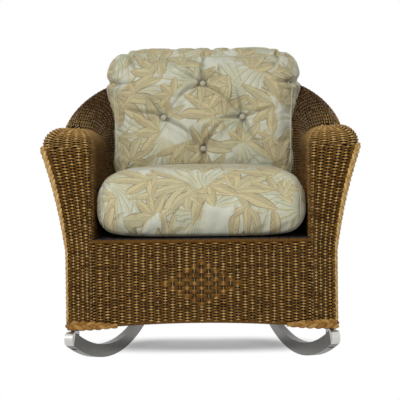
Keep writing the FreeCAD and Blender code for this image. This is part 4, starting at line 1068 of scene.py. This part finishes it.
def panel_box(columns, depths, levels):
    """A closed box of square panels: points from -1 to 1, faces and each face's panel."""
    counts = (columns, depths, levels)
    index, points, faces, panels = {}, [], [], []

    def spot(i, j, k):
        if (i, j, k) not in index:
            index[(i, j, k)] = len(points)
            points.append([2 * i / columns - 1, 2 * j / depths - 1, 2 * k / levels - 1])
        return index[(i, j, k)]

    for axis in range(3):
        first, second = [other for other in range(3) if other != axis]
        for end in (0, 1):
            for a in range(counts[first]):
                for b in range(counts[second]):
                    corner = [0, 0, 0]
                    corner[axis] = counts[axis] * end
                    loop = []
                    for da, db in ((0, 0), (1, 0), (1, 1), (0, 1)):
                        corner[first], corner[second] = a + da, b + db
                        loop.append(spot(*corner))
                    outward_first = (end == 1) != (axis == 1)
                    faces.append(loop if outward_first else loop[::-1])
                    panels.append(axis * 2 + end)
    return np.array(points), faces, np.array(panels)


def rounded_box(points, halves, radii):
    """The box of points at its real half sizes, with its edges rounded to an ellipsoid's radii."""
    halves = np.asarray(halves, float)
    radii = np.minimum(np.asarray(radii, float), halves * 0.98)
    full = points * halves
    core = np.clip(full, -(halves - radii), halves - radii)
    off = (full - core) / radii
    length = np.linalg.norm(off, axis=1, keepdims=True)
    return core + off / np.maximum(length, 1.0) * radii


COVER_CLOTH = {
    "quality": 6, "mass": 0.3, "tension_stiffness": 25, "compression_stiffness": 8, "shear_stiffness": 8,
    "bending_stiffness": 0.6, "use_pressure": True, "uniform_pressure_force": 3.5,
    "vertex_group_mass": "held"}
BLOWN_FRAMES = 20


def stuffed(thing, pinned, slack, cap):
    """Blows a cover up as cloth, holds its pinned points and limits how far any point goes."""
    start = point_values(thing)
    group = thing.vertex_groups.new(name="held")
    group.add([int(place) for place in pinned], 1.0, "REPLACE")
    cloth = thing.modifiers.new("cover", "CLOTH")
    for word, setting in COVER_CLOTH.items():
        setattr(cloth.settings, word, setting)
    cloth.settings.shrink_min = -slack
    cloth.settings.effector_weights.gravity = 0
    cloth.collision_settings.use_collision = False
    cloth.point_cache.frame_start = 1
    cloth.point_cache.frame_end = BLOWN_FRAMES
    scene = bpy.context.scene
    for step in range(1, BLOWN_FRAMES + 1):
        scene.frame_set(step)
    ended = point_values(thing.evaluated_get(bpy.context.evaluated_depsgraph_get()))
    thing.modifiers.clear()
    thing.vertex_groups.clear()
    scene.frame_set(1)
    moved = ended - start
    far = np.linalg.norm(moved, axis=1, keepdims=True)
    return start + moved * np.minimum(1, cap / np.maximum(far, 1e-9))


def subdivided(thing):
    """One level of smooth subdivision, made real."""
    finer = thing.modifiers.new("finer", "SUBSURF")
    finer.levels = finer.render_levels = 1
    thing.data = plain_mesh(thing)


def from_line(flat, stops):
    """Each point's distance from a line of stops, and 1 at its begin falling to 0 at its end."""
    stops = np.asarray(stops, float)
    near = np.full(len(flat), 1e9)
    fade = np.ones(len(flat))
    total = path_length(stops)
    gone = 0.0
    for first, second in zip(stops[:-1], stops[1:]):
        span = second - first
        length = np.hypot(*span)
        share = np.clip(((flat - first) @ span) / length ** 2, 0, 1)
        distance = np.hypot(*(flat - first - share[:, None] * span).T)
        closer = distance < near
        near = np.where(closer, distance, near)
        fade = np.where(closer, np.maximum(0, 1 - (gone + share * length) / total), fade)
        gone += length
    return near, fade


def creased(points, ways, lines):
    """Moves points in along creases: each is a line of (across, up), a depth and a width."""
    pull = np.zeros(len(points))
    swell = np.zeros(len(points))
    for stops, depth, width in lines:
        near, fade = from_line(points[:, [0, 2]], stops)
        pull = np.maximum(pull, depth * np.exp(-(near / width) ** 2) * (0.2 + 0.8 * fade ** 0.7))
        swell = np.maximum(swell, depth * 0.45 * np.exp(-((near - 2.6 * width) / (1.5 * width)) ** 2) * fade)
    return points + ways * (swell * (1 - pull / (pull.max() + 1e-9)) - pull)[:, None]


def folded(points, lines, tufts):
    """How much painted shade each point gets at a fold's bottom and in a ring round each tuft, from 0 to 1.
    """
    flat = points[:, [0, 2]]
    fold_shade = np.zeros(len(points))
    for stops, _, width in lines:
        near, fade = from_line(flat, stops)
        fold_shade = np.maximum(fold_shade, np.exp(-(near / (0.5 * width)) ** 2) * (0.25 + 0.75 * fade ** 0.5))
    for tuft in tufts:
        away = np.hypot(*(flat - tuft).T)
        fold_shade = np.maximum(fold_shade, 0.9 * np.exp(-((away - 0.0135) / 0.004) ** 2))
    return fold_shade


def notched(points, notches, centre):
    """Draws the silhouette in at short gathers: (across, up), a depth and a reach."""
    moved = points.copy()
    for place, depth, reach in notches:
        place = np.asarray(place, float)
        inward = np.asarray(centre, float) - place
        inward /= np.hypot(*inward)
        away = points[:, [0, 2]] - place
        along = away @ inward
        beside = away @ np.array([-inward[1], inward[0]])
        pull = depth * np.exp(-(beside / reach) ** 2) * np.exp(-(np.maximum(along, 0) / (2.2 * reach)) ** 2)
        moved[:, 0] += inward[0] * pull
        moved[:, 2] += inward[1] * pull
    return moved


def print_layer(cover, panels, wrap):
    """The cloth's own coordinates for its print, panel by panel. The subdivision made four faces of each."""
    layer = cover.data.uv_layers.new(name="print")
    points = point_values(cover)
    for face, panel in zip(cover.data.polygons, np.repeat(panels, 4)):
        for corner in face.loop_indices:
            layer.data[corner].uv = wrap(panel, *points[cover.data.loops[corner].vertex_index])


# On a box from -1 to 1, what counts as its very side
SEAM = 0.999
WELT_RADIUS, WELT_STEP = 0.0026, 0.006


def at_seam(own, *others):
    """Whether a point of the box is where panels meet: at the end of its own axis and another's."""
    return abs(own) > SEAM and any(abs(other) > SEAM for other in others)


def seam_order(places, flat, up, along):
    """Points of a seam in their order round it."""
    return sorted(places, key=lambda place: math.atan2(flat[place][up], flat[place][along]))


def piping(name, points):
    """A round welt along a closed seam."""
    line = np.concatenate([points, points[:1]])
    line, _ = spread(line, int(path_length(line) / WELT_STEP))
    round_edge = {"points": line, "ways": np.zeros_like(line), "lift": 0.0, "girth": WELT_RADIUS * 1000,
                  "tint": 0.5}
    lines = strand_lines(name + "_line", [round_edge])
    return built(name, lines, WEAVE, strand_sizes(0.0, 8), welt)


# The seat cushion's half width, and its heights over the deck: side seams, crown, under the back
SEAT_HALF, SEAT_SIDE, SEAT_CROWN, SEAT_REAR = 0.300, 0.176, 0.196, 0.143
SEAT_ROUNDING = (0.050, 0.066, 0.072)


def seat_cover():
    """The seat cushion: one panel wraps its top, front and bottom between two side panels."""
    flat, faces, panels = panel_box(60, 58, 20)
    low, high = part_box("seat_cushion")
    foot, side_top, crown = DECK_TOP + 0.003, DECK_TOP + SEAT_SIDE, DECK_TOP + SEAT_CROWN
    halves = (SEAT_HALF, (high.y - low.y) / 2 - 0.010, (side_top - foot) / 2)
    x, y, z = (rounded_box(flat, halves, SEAT_ROUNDING) / halves).T
    swell = (1 - np.abs(x) ** 2.6) * (1 - np.abs(y) ** 3.0)
    up = foot + halves[2] * (1 + z) + (crown - side_top) * np.clip(swell, 0, 1) * np.clip(z, 0, 1) ** 2
    up += 0.020 * np.abs(x) ** 5 * np.clip(-z, 0, 1) ** 2
    depth = (low.y + high.y) / 2 + y * halves[1]
    depth += 0.010 * np.abs(x) ** 4 * np.clip(-y, 0, 1) ** 2
    rear = DECK_TOP + SEAT_REAR
    under_back = np.clip((depth - (BARREL - 0.02)) / 0.06, 0, 1)
    up = np.where(up > rear, up + (rear - up) * under_back, up)
    cover = made_mesh("seat_cushion_cover", np.stack([x * SEAT_HALF, depth, up], -1), faces=faces)
    seam = [place for place, (i, j, k) in enumerate(flat)
            if at_seam(i, j, k) or (k < -SEAM and abs(i) < 0.9 and abs(j) < 0.9)]
    settle(cover, stuffed(cover, seam, 0.03, 0.014))
    points = point_values(cover)
    subdivided(cover)
    surfaced(cover, fabric)

    def wrap(panel, x, y, z):
        if panel in (0, 1):
            return y + panel, z + 0.3
        return x, (y - low.y) + (z - DECK_TOP)

    print_layer(cover, panels, wrap)
    placed(cover, ("seat_cushion", "seat_cushion_foam"))
    for side_name, side in SIDES:
        ring = [place for place in seam if flat[place][0] * side > SEAM]
        piping("seat_cushion_welt_" + side_name, points[seam_order(ring, flat, 2, 1)])


# The back cushion's tufts and gathers as (across, up), and its creases as lines with a depth and a width
TUFTS = ((0.0, 0.866), (0.13, 0.752), (0.0, 0.648), (-0.13, 0.752))
TUFT_PULL, REAR_TUFT_PULL, TUFT_SPREAD = 0.026, 0.010, 0.030
NOTCHES = (((-0.306, 0.872), 0.013, 0.011), ((0.306, 0.872), 0.013, 0.011), ((-0.245, 0.965), 0.011, 0.010),
           ((0.258, 0.972), 0.011, 0.010), ((0.030, 0.990), 0.008, 0.009))
TOP, RIGHT, BOTTOM, LEFT = TUFTS
BACK_CREASES = (
    ([TOP, (-0.002, 0.90), (0.004, 0.955), (0.010, 0.995)], 0.014, 0.0065),
    ([TOP, (-0.045, 0.85), (-0.085, 0.815), (-0.112, 0.78), LEFT], 0.011, 0.0055),
    ([TOP, (0.05, 0.835), (0.085, 0.805), RIGHT], 0.010, 0.0055),
    ([LEFT, (-0.16, 0.768), (-0.21, 0.772), (-0.27, 0.785)], 0.009, 0.0055),
    ([LEFT, (-0.15, 0.785), (-0.185, 0.825)], 0.008, 0.0055),
    ([LEFT, (-0.085, 0.728), (-0.04, 0.698), (-0.015, 0.668), BOTTOM], 0.011, 0.0055),
    ([BOTTOM, (0.012, 0.675), (0.04, 0.715), (0.07, 0.742)], 0.012, 0.0055),
    ([BOTTOM, (0.003, 0.61), (0.006, 0.57)], 0.011, 0.006),
    ([RIGHT, (0.085, 0.752), (0.055, 0.748)], 0.010, 0.0055),
    ([RIGHT, (0.175, 0.768), (0.225, 0.782)], 0.009, 0.0055),
    ([RIGHT, (0.125, 0.80), (0.11, 0.85)], 0.009, 0.0055),
    ([RIGHT, (0.155, 0.70), (0.185, 0.66), (0.20, 0.63)], 0.010, 0.006),
    ([RIGHT, (0.13, 0.71), (0.12, 0.67)], 0.007, 0.0055),
    ([TOP, (0.035, 0.90), (0.065, 0.93)], 0.007, 0.006),
    ([TOP, (-0.04, 0.895), (-0.07, 0.915)], 0.007, 0.006),
    ([(-0.306, 0.872), (-0.27, 0.87), (-0.23, 0.875)], 0.009, 0.0065),
    ([(0.306, 0.872), (0.27, 0.87), (0.23, 0.875)], 0.009, 0.0065),
    ([(-0.245, 0.965), (-0.24, 0.94), (-0.225, 0.915)], 0.009, 0.0065),
    ([(0.258, 0.972), (0.25, 0.945), (0.235, 0.92)], 0.009, 0.0065),
)
# Its outline, as shares of its height with the width, the thickness and the lean at each
BACK_WIDTHS = ([0, 0.17, 0.38, 0.6, 0.78, 0.9, 1], [0.945, 0.95, 0.955, 0.975, 1.0, 1.0, 0.99])
BACK_THICKNESSES = ([0, 0.3, 0.6, 0.8, 0.92, 1], [0.90, 1.0, 0.98, 0.88, 0.78, 0.72])
BACK_LEANS = ([0, 0.17, 0.38, 0.60, 0.78, 0.90, 1], [0.03, 0.0, 0.14, 0.32, 0.50, 0.64, 0.76])
BACK_HALF, BACK_THICK, BACK_LEAN = 0.322, 0.200, 0.16
BACK_ROUNDING = (0.070, 0.046, 0.078)


def back_cover():
    """The back cushion: a front and a rear panel with a boxed edge, tufted at its buttons."""
    flat, faces, panels = panel_box(88, 20, 62)
    low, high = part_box("back_cushion")
    foot, top = low.z + 0.004, high.z - 0.004
    halves = (BACK_HALF, 0.098, (top - foot) / 2)
    x, y, z = (rounded_box(flat, halves, BACK_ROUNDING) / halves).T
    height = (z + 1) / 2
    thick = BACK_THICK * np.interp(height, *BACK_THICKNESSES)
    lean = BACK_LEAN * np.interp(height, *BACK_LEANS)
    crown = 0.020 * (1 - np.abs(x) ** 2.5) * (1 - np.abs(z) ** 2.5)
    depth = FRONT + 0.478 + lean + thick * (y + 1) / 2 - crown * np.clip(-y, 0, 1) ** 3
    across = x * BACK_HALF * np.interp(height, *BACK_WIDTHS)
    points = np.stack([across, depth, foot + (top - foot) * height], -1)
    pinned = [place for place, (i, j, k) in enumerate(flat)
              if at_seam(j, i, k) or (k < -SEAM and abs(i) < 0.8)]
    for tuft_x, tuft_z in TUFTS:
        away = np.hypot(points[:, 0] - tuft_x, points[:, 2] - tuft_z)
        pull = np.exp(-(away / TUFT_SPREAD) ** 2)
        points[:, 1] += np.where(y < 0, TUFT_PULL * pull, -REAR_TUFT_PULL * pull)
        pinned += list(np.nonzero(away < 0.008)[0])
    cover = made_mesh("back_cushion_cover", points, faces=faces)
    settle(cover, stuffed(cover, pinned, 0.05, 0.016))
    subdivided(cover)
    points, ways = point_values(cover), point_values(cover, "normal")
    is_front = np.clip(-ways[:, 1] * 2, 0, 1)
    # Painted shade for the front's folds and the rings round its tufts
    fold_shade = folded(points, BACK_CREASES, TUFTS) * is_front
    points = creased(points, ways * is_front[:, None], BACK_CREASES)
    settle(cover, notched(points, NOTCHES, (0.0, 0.76)))
    surfaced(cover, fabric)
    attribute(cover, "fold_shade", fold_shade)

    def wrap(panel, x, y, z):
        if panel in (0, 1):
            return y + 0.7 * panel, z
        if panel == 5:
            return x, z + y
        return x + 0.37, z

    print_layer(cover, panels, wrap)
    placed(cover, ("back_cushion", "back_cushion_foam", "tuft_twines"))
    finished = point_values(cover)
    front_seam = [place for place, (i, j, k) in enumerate(flat) if j < 0 and at_seam(j, i, k)]
    piping("back_cushion_welt", finished[seam_order(front_seam, flat, 2, 0)])
    return finished


BUTTON_RADIUS, BUTTON_HEIGHT, BUTTON_SIDES = 0.0098, 0.0062, 20
# A button's rings from its face to its foot, as shares of its radius and its height
BUTTON_RINGS = ((0.35, 0.97), (0.65, 0.84), (0.88, 0.58), (1.0, 0.25), (0.94, 0.0), (0.6, -0.08))


def button(place, level, inward):
    """A covered button: a domed face with a rolled edge."""
    points = []
    for share, tall in BUTTON_RINGS:
        for turn in [math.tau * step / BUTTON_SIDES for step in range(BUTTON_SIDES)]:
            points.append((place[0] + BUTTON_RADIUS * share * math.cos(turn),
                           level - inward * BUTTON_HEIGHT * tall,
                           place[1] + BUTTON_RADIUS * share * math.sin(turn)))
    top, foot = len(points), len(points) + 1
    points.append((place[0], level - inward * BUTTON_HEIGHT, place[1]))
    points.append((place[0], level + inward * BUTTON_HEIGHT * 0.08, place[1]))
    last = (len(BUTTON_RINGS) - 1) * BUTTON_SIDES
    faces = []
    for step in range(BUTTON_SIDES):
        after = (step + 1) % BUTTON_SIDES
        faces.append((top, step, after))
        faces += [(ring + step, ring + step + BUTTON_SIDES, ring + after + BUTTON_SIDES, ring + after)
                  for ring in range(0, last, BUTTON_SIDES)]
        faces.append((last + step, foot, last + after))
    return points, faces if inward > 0 else [face[::-1] for face in faces]


def button_set(name, levels, inward, replaced):
    """The buttons of one face of the back cushion."""
    points, faces = [], []
    for place, level in zip(TUFTS, levels):
        more, loops = button(place, level, inward)
        faces += [tuple(index + len(points) for index in loop) for loop in loops]
        points += more
    thing = made_mesh(name, points, faces=faces)
    surfaced(thing, welt)
    return placed(thing, replaced)


seat_cover()
back_points = back_cover()
front_levels, rear_levels = [], []
for tuft_x, tuft_z in TUFTS:
    away = np.hypot(back_points[:, 0] - tuft_x, back_points[:, 2] - tuft_z)
    near = back_points[away < 0.016][:, 1]
    middle = (near.min() + near.max()) / 2
    front_levels.append(np.median(near[near < middle]))
    rear_levels.append(np.median(near[near > middle]))
button_set("back_cushion_buttons", front_levels, 1, ("front_buttons",))
button_set("back_cushion_rear_buttons", rear_levels, -1, ("rear_buttons",))

# Floor, light and camera

FLOOR_REACH = 30
WHITE = (1.0, 1.0, 1.0, 1.0)
SKY_STRENGTH = 0.06


def floor_finish():
    """A pale floor that shows white to the camera and keeps the shadow."""
    paint = Shader("pale_floor")
    place = paint.place()
    paint.feed(Base_Color=paint.mix(paint.noise(place, 3.0), colour(236, 236, 236), colour(240, 240, 240)))
    paint.constant(Roughness=0.8, Specular_IOR_Level=0.1)
    glow = paint.add("Emission", None, Color=WHITE, Strength=1.0)
    across, along, _ = paint.apart(place)
    away = (across ** 4.0 * 40.0 + (along - 0.10) ** 2.0 * 40.0).sqrt()
    share = paint.backdrop_rays() * (away.step(0.3, 1.15) * 0.68 + 0.32)
    mixed = paint.add("MixShader", None, share, Socket(paint, paint.surface.outputs[0]), glow)
    paint.tree.links.new(mixed.link, paint.output.inputs[0])
    return paint.material


corners = [(FLOOR_REACH * x, FLOOR_REACH * y, 0) for x, y in ((-1, -1), (1, -1), (1, 1), (-1, 1))]
floor = made_mesh("floor", corners, faces=[(0, 1, 2, 3)])
floor.data.materials.append(floor_finish())

world = bpy.data.worlds.new("studio")
bpy.context.scene.world = world
world.use_nodes = True
sky = Tree(world.node_tree, "Shader")
sky.tree.nodes.clear()
light = sky.add("Background", None, WHITE, SKY_STRENGTH)
white = sky.add("Background", None, WHITE, 1.0)
both = sky.add("MixShader", None, sky.backdrop_rays(), light, white)
ending = sky.node("ShaderNodeOutputWorld")
sky.tree.links.new(both.link, ending.inputs[0])

# Soft square lamps that point at the seat: place, side and power
LAMPS = (("key_lamp", (-1.1, -3.3, 2.7), 0.8, 84), ("fill_lamp", (0.4, -3.8, 1.2), 1.2, 26),
         ("top_lamp", (0.0, -0.5, 3.0), 1.4, 14), ("rear_left_lamp", (-2.2, 2.8, 1.8), 1.4, 52),
         ("rear_right_lamp", (2.2, 2.8, 1.8), 1.4, 52))
LIT_POINT = Vector((0, 0, 0.5))
for name, place, side, power in LAMPS:
    lamp_data = bpy.data.lights.new(name, "AREA")
    lamp_data.shape = "SQUARE"
    lamp_data.size = side
    lamp_data.energy = power
    lamp = linked(name, lamp_data)
    lamp.location = place
    lamp.rotation_mode = "QUATERNION"
    lamp.rotation_quaternion = (LIT_POINT - Vector(place)).to_track_quat("-Z", "Y")

# The camera as fitted to the photograph, with sizes on its picture in pixels
PICTURE, FOCAL, SHIFT_RIGHT, SHIFT_UP = 400, 1064.0, -0.5, -50.5
SENSOR = 36.0
CAMERA_AWAY, CAMERA_HEIGHT = 3.1, 0.646
AROUND, TILT = math.radians(1.3), math.radians(0.7)
camera_data = bpy.data.cameras.new("camera")
camera_data.sensor_width = SENSOR
camera_data.lens = FOCAL / PICTURE * SENSOR
camera_data.shift_x = SHIFT_RIGHT / PICTURE
camera_data.shift_y = SHIFT_UP / PICTURE
camera = linked("camera", camera_data)
camera.location = (CAMERA_AWAY * math.sin(AROUND), FRONT + 0.1 - CAMERA_AWAY * math.cos(AROUND),
                   CAMERA_HEIGHT)
camera.rotation_euler = (QUARTER, TILT, AROUND)
bpy.context.scene.camera = camera
bpy.context.scene.view_settings.view_transform = "Standard"
